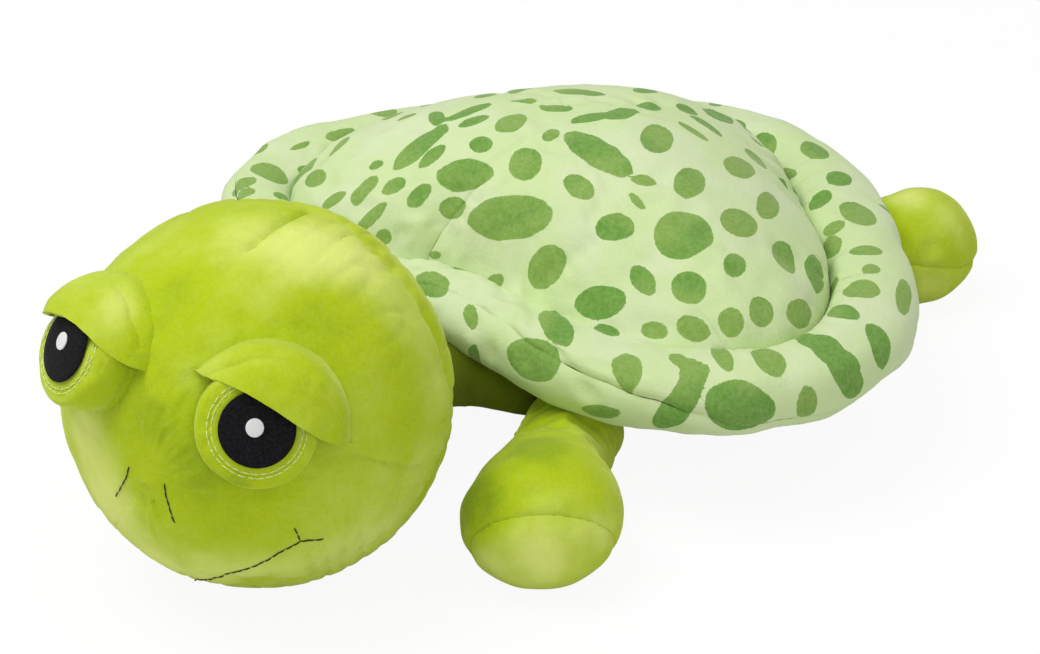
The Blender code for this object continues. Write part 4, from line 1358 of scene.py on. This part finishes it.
class TURTLE_OT_eye_cups(bpy.types.Operator):
    """Sew the two padded cups of the eyes"""

    bl_idname = "turtle.eye_cups"
    bl_label = "Eye cups"

    def execute(self, context):
        cloth = context.scene.turtle_cloth
        low = HEAD_RADIUS - 0.009
        for name, side in SIDES:
            frame_of_eye = eye_frame(side)

            def place(turn, share, frame_of_eye=frame_of_eye, lean=EYE_LEANS[name]):
                """From the open back, up the side, round the shoulder and in to the middle."""
                if share < CUP_SIDE:
                    part = share / CUP_SIDE
                    radius = CUP_RADIUS * (0.90 + 0.10 * math.sin(math.pi * 0.56 * part))
                    height = low + (EYE_REACH - CUP_ROUNDING - low) * part
                elif share < CUP_TOP:
                    angle = (share - CUP_SIDE) / (CUP_TOP - CUP_SIDE) * math.pi / 2
                    radius = CUP_RADIUS * 0.998 - CUP_ROUNDING * (1 - math.cos(angle))
                    height = EYE_REACH - CUP_ROUNDING * (1 - math.sin(angle))
                else:
                    part = (1.0 - share) / (1.0 - CUP_TOP)
                    radius = (CUP_RADIUS * 0.998 - CUP_ROUNDING) * part
                    height = EYE_REACH + 0.0003 * (1 - part)
                height -= lean * max(0.0, radius * math.sin(turn) - LEAN_FROM) * smooth_step(share / CUP_SIDE)
                return frame_of_eye @ Vector((radius * math.cos(turn), radius * math.sin(turn), height))

            def circle(radius, height, frame_of_eye=frame_of_eye):
                return ring(lambda turn: frame_of_eye @ Vector((radius * math.cos(turn),
                                                                radius * math.sin(turn), height)), 400)

            def sewn(_, share, place):
                """At the open back, and under the felt and its stitches."""
                return share < 0.02 or share > 0.60

            inside = frame_of_eye @ Vector((0.0, 0.0, low))
            place = stuffed("cup", place, full_turn, even, sewn, inside)
            cup = laid("eye_cup_" + name + "_cloth", full_turn(CUP_SIDES), even(CUP_ROWS), place, inside)
            foot = Seam(circle(CUP_RADIUS * 0.95, HEAD_RADIUS - 0.0035), 0.0022, 0.0060, 0.0014,
                        reach=0.006, spacing=0.007, seed=side)
            rows = Seam(circle(sum(STITCH_RADII) / 2, EYE_REACH), 0.0009, 0.0026, 0.0005, reach=0.0035,
                        spacing=0.006, seed=2.0 + side)
            soften(cup, [foot, rows], cloth, seed=20.0 + side, lump_size=0.018, lump=0.4)
            finish(cup, the_look("lime_velboa"), "head", "lime_velboa", ["eye_cup_" + name], cloth.wall)
        return {"FINISHED"}


def felt_disc(name, radius, thick, crown, segments=72):
    """A cut felt disc, bevelled at its rim and a little domed, about the origin."""
    bpy.ops.object.select_all(action="DESELECT")
    bpy.ops.mesh.primitive_cylinder_add(vertices=segments, radius=radius, depth=thick, end_fill_type="NGON")
    disc = bpy.context.object
    disc.name = disc.data.name = name
    edit(disc)
    bpy.ops.mesh.select_all(action="DESELECT")
    done()
    for face in disc.data.polygons:
        face.select = abs(face.normal.z) > 0.9
    edit_selected(disc)
    bpy.ops.mesh.bevel(offset=thick * 0.35, segments=2, affect="EDGES")
    done()
    for _ in range(5):
        top_faces(disc)
        edit_selected(disc)
        bpy.ops.mesh.inset(thickness=radius * 0.17)
        done()
    for vertex in disc.data.vertices:
        if vertex.co.z > 0:
            away = math.hypot(vertex.co.x, vertex.co.y) / radius
            vertex.co.z += crown * (1 - min(1.0, away) ** 2)
    return disc


def top_faces(piece):
    """Selects the flat face on top, the largest that looks up."""
    for face in piece.data.polygons:
        face.select = False
    up = [face for face in piece.data.polygons if face.normal.z > 0.9]
    max(up, key=lambda face: len(face.vertices)).select = True


def edit_selected(piece):
    choose(piece)
    bpy.ops.object.mode_set(mode="EDIT")
    bpy.ops.mesh.select_mode(type="FACE")


class TURTLE_OT_eye_discs(bpy.types.Operator):
    """Cut the black felt discs and the white felt ovals on them"""

    bl_idname = "turtle.eye_discs"
    bl_label = "Eye discs"

    def execute(self, context):
        for name, side in SIDES:
            place = eye_frame(side)
            disc = felt_disc("eye_disc_" + name, PUPIL_RADIUS, FELT, 0.0010)
            disc.data.transform(place @ Matrix.Translation((0.0, 0.0, EYE_REACH + FELT / 2 + 0.0005)))
            finish(disc, the_look("black_felt"), "head", "black_felt", ["eye_pupil_" + name])
            oval = felt_disc("eye_glint_" + name, GLINT_RADIUS, GLINT_FELT, 0.0003, 40)
            squeeze = Matrix.Diagonal((0.95, 1.0, 1.0, 1.0))
            seat = Matrix.Translation((-0.001, 0.0010, EYE_REACH + FELT + 0.0018))
            oval.data.transform(place @ seat @ squeeze)
            finish(oval, the_look("white_felt"), "head", "white_felt", ["eye_highlight_" + name])
        return {"FINISHED"}


def one_stitch(length, width):
    """One stitch of thread along X, pulled down at both ends where it enters the cloth."""
    bpy.ops.object.select_all(action="DESELECT")
    bpy.ops.mesh.primitive_cylinder_add(vertices=8, radius=width / 2, depth=length, end_fill_type="TRIFAN",
                                        rotation=(0.0, math.pi / 2, 0.0))
    stitch = bpy.context.object
    bpy.ops.object.transform_apply(location=False, rotation=True, scale=False)
    bpy.context.object.data.name = "stitch"
    edit(stitch)
    for share in (-0.42, -0.3, 0.0, 0.3, 0.42):
        bpy.ops.mesh.select_all(action="SELECT")
        bpy.ops.mesh.bisect(plane_co=(share * length, 0.0, 0.0), plane_no=(1.0, 0.0, 0.0))
    done()
    for vertex in stitch.data.vertices:
        share = abs(vertex.co.x) / (length / 2)
        narrow = 1.0 - 0.55 * share ** 4
        vertex.co.y *= narrow
        vertex.co.z = vertex.co.z * narrow - width * 0.75 * share ** 3
    return stitch


def stitched(name, runs, length, gap, width, look, body, slot, nodes, surface):
    """Stitches along lines of (point, outward) pairs, laid on a surface and joined as one thread."""
    pattern = one_stitch(length, width)
    copies = []
    for run in runs:
        points = [point for point, _ in run]
        travelled = [0.0]
        for before, after in zip(points, points[1:]):
            travelled.append(travelled[-1] + (after - before).length)
        count = max(1, round(travelled[-1] / (length + gap)))
        for number in range(count):
            at = (number + 0.5) / count * travelled[-1]
            index = min(len(points) - 2, next(i for i, far in enumerate(travelled) if far >= at) - 1)
            index = max(0, index)
            middle = points[index].lerp(points[index + 1], 0.5)
            ahead = (points[min(len(points) - 1, index + 2)] - points[max(0, index - 1)]).normalized()
            out = run[index][1]
            hit, _, _, _ = surface.ray_cast(middle + out * 0.02, -out)
            middle = hit if hit is not None else middle
            aside = out.cross(ahead).normalized()
            upward = ahead.cross(aside)
            copy = pattern.copy()
            copy.data = pattern.data.copy()
            bpy.context.scene.collection.objects.link(copy)
            turned = Matrix((ahead, aside, upward)).transposed().to_4x4()
            copy.data.transform(Matrix.Translation(middle + out * (width / 2)) @ turned)
            copies.append(copy)
    bpy.data.objects.remove(pattern)
    bpy.ops.object.select_all(action="DESELECT")
    for copy in copies:
        copy.select_set(True)
    bpy.context.view_layer.objects.active = copies[0]
    bpy.ops.object.join()
    thread = bpy.context.object
    thread.name = thread.data.name = name
    return finish(thread, look, body, slot, nodes)


class TURTLE_OT_eye_stitches(bpy.types.Operator):
    """Sew the double row of stitches round each disc"""

    bl_idname = "turtle.eye_stitches"
    bl_label = "Eye stitches"

    def execute(self, context):
        threads = context.scene.turtle_threads
        graph = context.evaluated_depsgraph_get()
        for name, side in SIDES:
            place = eye_frame(side)
            cup = BVHTree.FromObject(bpy.data.objects["eye_cup_" + name + "_cloth"], graph)
            out = (place.to_3x3() @ Vector((0.0, 0.0, 1.0))).normalized()
            runs = []
            for radius in STITCH_RADII:
                run = ring(lambda turn: place @ Vector((radius * math.cos(turn), radius * math.sin(turn),
                                                        EYE_REACH)), 240)
                runs.append([(point, out) for point in run])
            stitched("eye_stitches_" + name, runs, threads.eye_stitch, threads.gap, threads.width * 0.75,
                     the_look("eye_thread"), "head", "eye_thread", ["eye_stitching_" + name], cup)
        return {"FINISHED"}


class TURTLE_OT_lids(bpy.types.Operator):
    """Sew the padded lids that hang over the eyes, lower on their outer sides"""

    bl_idname = "turtle.lids"
    bl_label = "Eyelids"

    def execute(self, context):
        cloth = context.scene.turtle_cloth
        for name, side in SIDES:
            power, outer, inner, bows = LID_SHAPES[name]
            ends = [Vector((math.cos(math.radians(end)) * side, math.sin(math.radians(end)), 0.0))
                    for end in (outer, inner)]
            along = (ends[0] - ends[1]).normalized()
            upward = Vector((-along.y, along.x, 0.0)) * side
            low = ends[0].dot(upward) * LID_RADIUS
            half = (ends[0] - ends[1]).length / 2 * LID_RADIUS
            middle = Vector((LID_ASIDE * side, LID_ABOVE, LID_TOP - LID_RISE))
            frame_of_eye = eye_frame(side)

            def top(flat, middle=middle, frame_of_eye=frame_of_eye, power=power, lean=EYE_LEANS[name]):
                """The lid's outer cloth over a place in its plane, measured from its middle."""
                share = min(1.0, flat.length / LID_RADIUS)
                rise = LID_RISE * (1.0 - share ** power) ** (1.0 / power)
                rise -= lean * max(0.0, flat.y + middle.y - LEAN_FROM)
                return frame_of_eye @ (middle + flat + Vector((0.0, 0.0, rise)))

            def place(column, row, low=low, half=half, along=along, upward=upward, top=top, bows=bows):
                share = math.sin(math.pi / 2 * column)
                across = half * share
                highest = math.sqrt(max(0.0, LID_RADIUS ** 2 - across ** 2))
                lowest = min(highest, low + straight(bows, share))
                return top(along * across + upward * (lowest + (highest - lowest) * row))

            def sewn(column, row, place):
                return row > EDGE or abs(column) > EDGE

            inside = frame_of_eye @ Vector((0.0, 0.01, LID_TOP - LID_RISE))
            place = stuffed("lid", place, partial(both_ways, 1), even, sewn, inside)
            lid = laid("lid_" + name + "_cloth", both_ways(1, LID_COLUMNS), crowded(LID_ROWS, LID_CROWDING),
                       place, inside)
            folds = []
            for number, (fold, depth) in enumerate(zip(LID_FOLDS[name], LID_FOLD_DEPTHS)):
                def on_lid(angle, share, side=side, top=top):
                    turn = math.radians(angle)
                    return top(Vector((math.cos(turn) * side, math.sin(turn), 0.0)) * (LID_RADIUS * share))

                fading = [math.sin(math.pi * share) ** 0.5 for share in even(160)]
                folds.append(Seam(through(fold, on_lid, 160), depth, 0.0060, 0.0006, reach=0.006,
                                  seed=number + side, shares=fading))
            soften(lid, folds, cloth, seed=30.0 + side, lump_size=0.017, lump=0.85)
            finish(lid, the_look("lime_velboa"), "head", "lime_velboa", ["eyelid_" + name], LID_WALL,
                   rounding=0.0011)
        return {"FINISHED"}


class TURTLE_OT_face_threads(bpy.types.Operator):
    """Sew the nostrils and the mouth"""

    bl_idname = "turtle.face_threads"
    bl_label = "Nostrils and mouth"

    def execute(self, context):
        threads = context.scene.turtle_threads
        graph = context.evaluated_depsgraph_get()
        face = BVHTree.FromObject(bpy.data.objects["face_cloth"], graph)
        centre = Vector(HEAD_PLACE)

        def line(points, side, count):
            placed = through([(turn * side, lift) for turn, lift in points], on_head, count)
            return [(point, (point - centre).normalized()) for point in placed]

        options = {"length": threads.stitch, "gap": -threads.gap * 0.6, "width": threads.width,
                   "look": the_look("dark_thread"), "body": "head", "slot": "dark_thread", "surface": face}
        for name, side in SIDES:
            stitched("nostril_stitches_" + name, [line(NOSTRIL, side, 60)],
                     nodes=["nostril_thread_" + name], **options)
        runs = []
        for mouth, forks in ((MOUTH, MOUTH_FORKS), (FAR_MOUTH, FAR_MOUTH_FORKS)):
            runs.append(line(mouth, 1, 160))
            runs += [line(fork, 1, 30) for fork in forks]
        stitched("mouth_stitches", runs, nodes=["mouth_thread"], **options)
        return {"FINISHED"}


# The legs


def leg_swell(station):
    """How far the leg has swollen in width and in height from its shank to its foot, 0 to 1."""
    for before, after in zip(LEG_SWELL_SHARES, LEG_SWELL_SHARES[1:]):
        if station <= after[0]:
            part = max(0.0, station - before[0]) / (after[0] - before[0])
            part = part * 0.5 + smooth_step(part) * 0.5
            return [low + (high - low) * part for low, high in zip(before[1:], after[1:])]
    return LEG_SWELL_SHARES[-1][1:]


class Leg:
    """One leg: its root, its foot, and the sizes of its foot and toe."""

    def __init__(self, root, sizes, side):
        foot, height = sizes["foot"], sizes["height"]
        self.root = root
        self.foot = Vector((foot[0] * side, foot[1], height / 2 - FLOOR_PRESS))
        reach = self.foot - self.root
        self.ahead = Vector((reach.x, reach.y, 0.0)).normalized()
        forward = math.copysign(1.0, -self.ahead.y)
        self.aside = Vector((abs(self.ahead.y) * side, self.ahead.x * side * forward, 0.0))
        self.half_width, self.half_height = sizes["width"] / 2, height / 2
        self.toe, self.bend = sizes["toe"], sizes["bend"]
        self.toe_turn = math.radians(sizes["toe_turn"])
        self.facing = self.ahead * math.cos(self.toe_turn) + self.aside * math.sin(self.toe_turn)
        self.seam_reach, self.seam_lean = sizes["seam_reach"], math.radians(sizes["seam_lean"])

    def point(self, across, station):
        """Stations run from -1 to 0 over the round root, to 1 down the leg and to 2 over the toe."""
        wider, higher = leg_swell(station)
        half_width = LEG_SHANK_RADIUS + (self.half_width - LEG_SHANK_RADIUS) * wider
        half_height = LEG_SHANK_RADIUS + (self.half_height - LEG_SHANK_RADIUS) * higher
        shrink, reach = 1.0, Vector()
        held = min(1.0, max(0.0, station))
        centre = self.root.lerp(self.foot, held) + self.aside * (self.bend * math.sin(math.pi * held))
        centre.z = self.root.z + (self.foot.z - self.root.z) * higher
        if station < 0.0:
            half_width = half_height = LEG_ROOT_RADIUS
            bent = math.radians(90 * station)
            shrink = math.cos(bent)
            reach = self.ahead * (half_width * math.sin(bent))
        elif station > 1.0:
            bent = math.radians(90 * (station - 1.0))
            shrink = math.cos(bent)
            reach = self.facing * (self.toe * math.sin(bent))
        swing = self.toe_turn * higher
        wide = self.aside * math.cos(swing) - self.ahead * math.sin(swing)
        angle = math.tau * across
        up = Vector((0.0, 0.0, half_height * math.sin(angle) * shrink))
        return centre + reach + wide * (half_width * math.cos(angle) * shrink) + up

    def seam(self):
        """The plane of the sole's seam: a point on it and its direction towards the sole."""
        direction = self.facing * math.cos(self.seam_lean) - Vector((0.0, 0.0, math.sin(self.seam_lean)))
        return self.foot + self.facing * self.seam_reach, direction


def rim_line(piece, point, direction, within):
    """The points of a piece's border that lie on a plane."""
    return [vertex.co.copy() for vertex in piece.data.vertices
            if abs((vertex.co - point).dot(direction)) < within]


class TURTLE_OT_legs(bpy.types.Operator):
    """Sew the four legs, each with its sole"""

    bl_idname = "turtle.legs"
    bl_label = "Legs"

    def execute(self, context):
        cloth = context.scene.turtle_cloth
        root_steps, leg_steps, toe_steps = LEG_STATIONS
        stations = [LEG_START - LEG_START * share for share in even(root_steps)]
        stations += even(leg_steps)[1:]
        stations += [1.0 + share for share in even(toe_steps)[1:]]

        def whole_leg(count):
            return [LEG_START + (2.0 - LEG_START) * share for share in even(count)]

        for end, sizes in (("front", FRONT_LEG), ("rear", REAR_LEG)):
            for name, side in SIDES:
                tag = end + "_" + name
                leg = Leg(JOINTS["leg_" + tag + "_swing"], sizes, side)
                middle = (leg.root + leg.foot) / 2
                point, direction = leg.seam()

                def sewn(_, row, place, point=point, direction=direction):
                    """Round the root, at the sole's seam and at the tip of the toe."""
                    return row < 0.08 or abs((place - point).dot(direction)) < SOLE_HOLD or row > 1.99

                place = stuffed("leg", leg.point, even, whole_leg, sewn, middle)
                panel = laid("leg_" + tag + "_cloth", even(LEG_SIDES), stations, place, middle)
                sole = laid("sole_" + tag + "_cloth", even(LEG_SIDES), stations, place, middle)
                cut_away(panel, point, -direction)
                cut_away(sole, point, direction)
                line = rim_line(panel, point, direction, 0.00002)
                seam = Seam(line, cloth.seam_depth * 0.4, cloth.seam_width * 0.6, 0.0, seed=side)
                wrinkles = self.wrinkles(leg, 40.0 + side)
                for piece in (panel, sole):
                    soften(piece, [seam], cloth, seed=40.0 + side + (5 if end == "rear" else 0),
                           lump_size=0.030, lump=1.1)
                swell(panel, wrinkles)
                for piece, node in ((panel, "leg_panel_"), (sole, "sole_panel_")):
                    rest_on_floor(piece)
                    finish(piece, the_look("lime_velboa"), "leg_" + tag, "lime_velboa", [node + tag],
                           cloth.wall)
        return {"FINISHED"}

    @staticmethod
    def wrinkles(leg, seed):
        """Folds across the shank, where the thin part bends."""
        along = (leg.foot - leg.root).normalized()
        length = (leg.foot - leg.root).length

        def rise(point, normal):
            station = (point - leg.root).dot(along) / length
            strength = smooth_step((station - 0.05) / 0.2) * smooth_step((0.75 - station) / 0.25)
            wander = noise.noise(point / 0.025 + Vector((seed, 0.0, 0.0))) * 0.8
            folds = noise.noise(Vector((station * 14.0 + wander, wander, seed)))
            valley = max(0.0, 1.0 - abs(folds) / 0.32)
            return normal * (-0.0012 * strength * valley * valley)

        return rise


# The fillings


class TURTLE_OT_fillings(bpy.types.Operator):
    """Pack loose fibre inside every skin"""

    bl_idname = "turtle.fillings"
    bl_label = "Fillings"

    def execute(self, context):
        for number, (node, name, body) in enumerate(FILLINGS):
            solid = frame["nodes"][node]
            piece = solid.copy()
            piece.data = solid.data.copy()
            piece.name = piece.data.name = name
            piece.parent = None
            for key in [key for key in piece.keys() if key.startswith("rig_")]:
                del piece[key]
            context.scene.collection.objects.link(piece)
            edit(piece)
            bpy.ops.mesh.remove_doubles(threshold=0.00001)
            bpy.ops.mesh.tris_convert_to_quads()
            done()
            applied(piece, "SUBSURF", levels=1, render_levels=1)
            inset = FILLING_INSETS.get(name.split("_")[0], FILLING_INSET)

            def rise(point, normal, inset=inset, number=number):
                return normal * (0.25 * inset * lumps(point, 0.012, float(number)) - inset)

            swell(piece, rise)
            if "neck" in name:
                slack_neck(piece, inset)
            finish(piece, the_look("fibre"), body, "fibre", [node])
        return {"FINISHED"}


# The stage


def lamp(name, place, target, size, power):
    bpy.ops.object.light_add(type="AREA", location=place)
    light = bpy.context.object
    light.name = name
    light.data.shape = "DISK"
    light.data.size = size
    light.data.energy = power
    light.rotation_euler = (Vector(target) - Vector(place)).to_track_quat("-Z", "Y").to_euler()


class TURTLE_OT_stage(bpy.types.Operator):
    """Set the floor, the lamps, the surroundings and the camera"""

    bl_idname = "turtle.stage"
    bl_label = "Stage"

    def execute(self, context):
        scene = context.scene
        stage = scene.turtle_stage
        bpy.ops.object.select_all(action="DESELECT")
        bpy.ops.mesh.primitive_plane_add(size=8.0)
        floor = context.object
        floor.name = "floor"
        floor.data.materials.append(self.floor_look())
        for row, lamp_power in zip(LAMPS, (stage.key_power, stage.fill_power)):
            lamp(*row, lamp_power)
        self.surroundings(scene, stage.world)
        self.camera(scene)
        scene.view_settings.view_transform = "Standard"
        return {"FINISHED"}

    @staticmethod
    def seen(tree):
        """1 for rays from the camera, in gloss and through glass, 0 for the light on the object."""
        path = tree.nodes.new("ShaderNodeLightPath")
        level = path.outputs["Is Camera Ray"]
        for ray in ("Is Glossy Ray", "Is Transmission Ray"):
            larger = tree.nodes.new("ShaderNodeMath")
            larger.operation = "MAXIMUM"
            tree.links.new(level, larger.inputs[0])
            tree.links.new(path.outputs[ray], larger.inputs[1])
            level = larger.outputs[0]
        return level

    def floor_look(self):
        """White to the camera, with a share of its own shading so that the shadow stays."""
        made = bpy.data.materials.new("pale_floor")
        made.use_nodes = True
        tree = made.node_tree
        tree.nodes.clear()
        out = tree.nodes.new("ShaderNodeOutputMaterial")
        paint = tree.nodes.new("ShaderNodeBsdfDiffuse")
        paint.inputs["Color"].default_value = (FLOOR_WHITE, FLOOR_WHITE, FLOOR_WHITE, 1.0)
        glow = tree.nodes.new("ShaderNodeEmission")
        glow.inputs["Strength"].default_value = FLOOR_GLOW
        share = tree.nodes.new("ShaderNodeMath")
        share.operation = "MULTIPLY"
        share.inputs[1].default_value = FLOOR_GLOW_SHARE
        tree.links.new(self.seen(tree), share.inputs[0])
        mix = tree.nodes.new("ShaderNodeMixShader")
        tree.links.new(share.outputs[0], mix.inputs[0])
        tree.links.new(paint.outputs[0], mix.inputs[1])
        tree.links.new(glow.outputs[0], mix.inputs[2])
        tree.links.new(mix.outputs[0], out.inputs["Surface"])
        return made

    def surroundings(self, scene, strength):
        world = bpy.data.worlds.new("surroundings")
        scene.world = world
        world.use_nodes = True
        tree = world.node_tree
        sky = tree.nodes["Background"]
        sky.inputs["Color"].default_value = (1.0, 1.0, 1.0, 1.0)
        level = tree.nodes.new("ShaderNodeMapRange")
        level.inputs["To Min"].default_value = strength
        level.inputs["To Max"].default_value = 1.0
        tree.links.new(self.seen(tree), level.inputs["Value"])
        tree.links.new(level.outputs["Result"], sky.inputs["Strength"])

    @staticmethod
    def camera(scene):
        right, up, back = camera_axes()
        bpy.ops.object.camera_add(location=camera_place())
        camera = bpy.context.object
        camera.rotation_euler = Matrix((right, up, back)).transposed().to_euler()
        camera.data.sensor_width = SENSOR_WIDTH
        camera.data.lens = PHOTO_FOCAL * SENSOR_WIDTH / PHOTO_SIZE[0]
        scene.camera = camera


OPERATORS = (TURTLE_OT_dome, TURTLE_OT_roll, TURTLE_OT_belly, TURTLE_OT_print, TURTLE_OT_neck, TURTLE_OT_head,
             TURTLE_OT_eye_cups, TURTLE_OT_eye_discs, TURTLE_OT_eye_stitches, TURTLE_OT_lids,
             TURTLE_OT_face_threads, TURTLE_OT_legs, TURTLE_OT_sheen_and_shade, TURTLE_OT_fillings,
             TURTLE_OT_stage)


class VIEW3D_PT_turtle(bpy.types.Panel):
    """Sizes, colours and the steps that sew the turtle"""

    bl_label = "Plush turtle"
    bl_idname = "VIEW3D_PT_turtle"
    bl_space_type = "VIEW_3D"
    bl_region_type = "UI"
    bl_category = "Turtle"

    def draw(self, context):
        layout, scene = self.layout, context.scene
        for group in (scene.turtle_cloth, scene.turtle_threads, scene.turtle_stage):
            box = layout.box()
            for name in group.bl_rna.properties.keys():
                if name not in ("rna_type", "name"):
                    box.prop(group, name)
        for operator in OPERATORS:
            layout.operator(operator.bl_idname)


CLASSES = (TurtleCloth, TurtleThreads, TurtleStage, *OPERATORS, VIEW3D_PT_turtle)


def register():
    for item in CLASSES:
        bpy.utils.register_class(item)
    bpy.types.Scene.turtle_cloth = PointerProperty(type=TurtleCloth)
    bpy.types.Scene.turtle_threads = PointerProperty(type=TurtleThreads)
    bpy.types.Scene.turtle_stage = PointerProperty(type=TurtleStage)


def unregister():
    del bpy.types.Scene.turtle_stage
    del bpy.types.Scene.turtle_threads
    del bpy.types.Scene.turtle_cloth
    for item in reversed(CLASSES):
        bpy.utils.unregister_class(item)


def main():
    register()
    steps = bpy.ops.turtle
    for step in (steps.dome, steps.roll, steps.belly, steps.print, steps.neck, steps.head, steps.eye_cups,
                 steps.eye_discs, steps.eye_stitches, steps.lids, steps.face_threads, steps.legs,
                 steps.brush, steps.fillings, steps.stage):
        step()


if __name__ == "__main__":
    main()
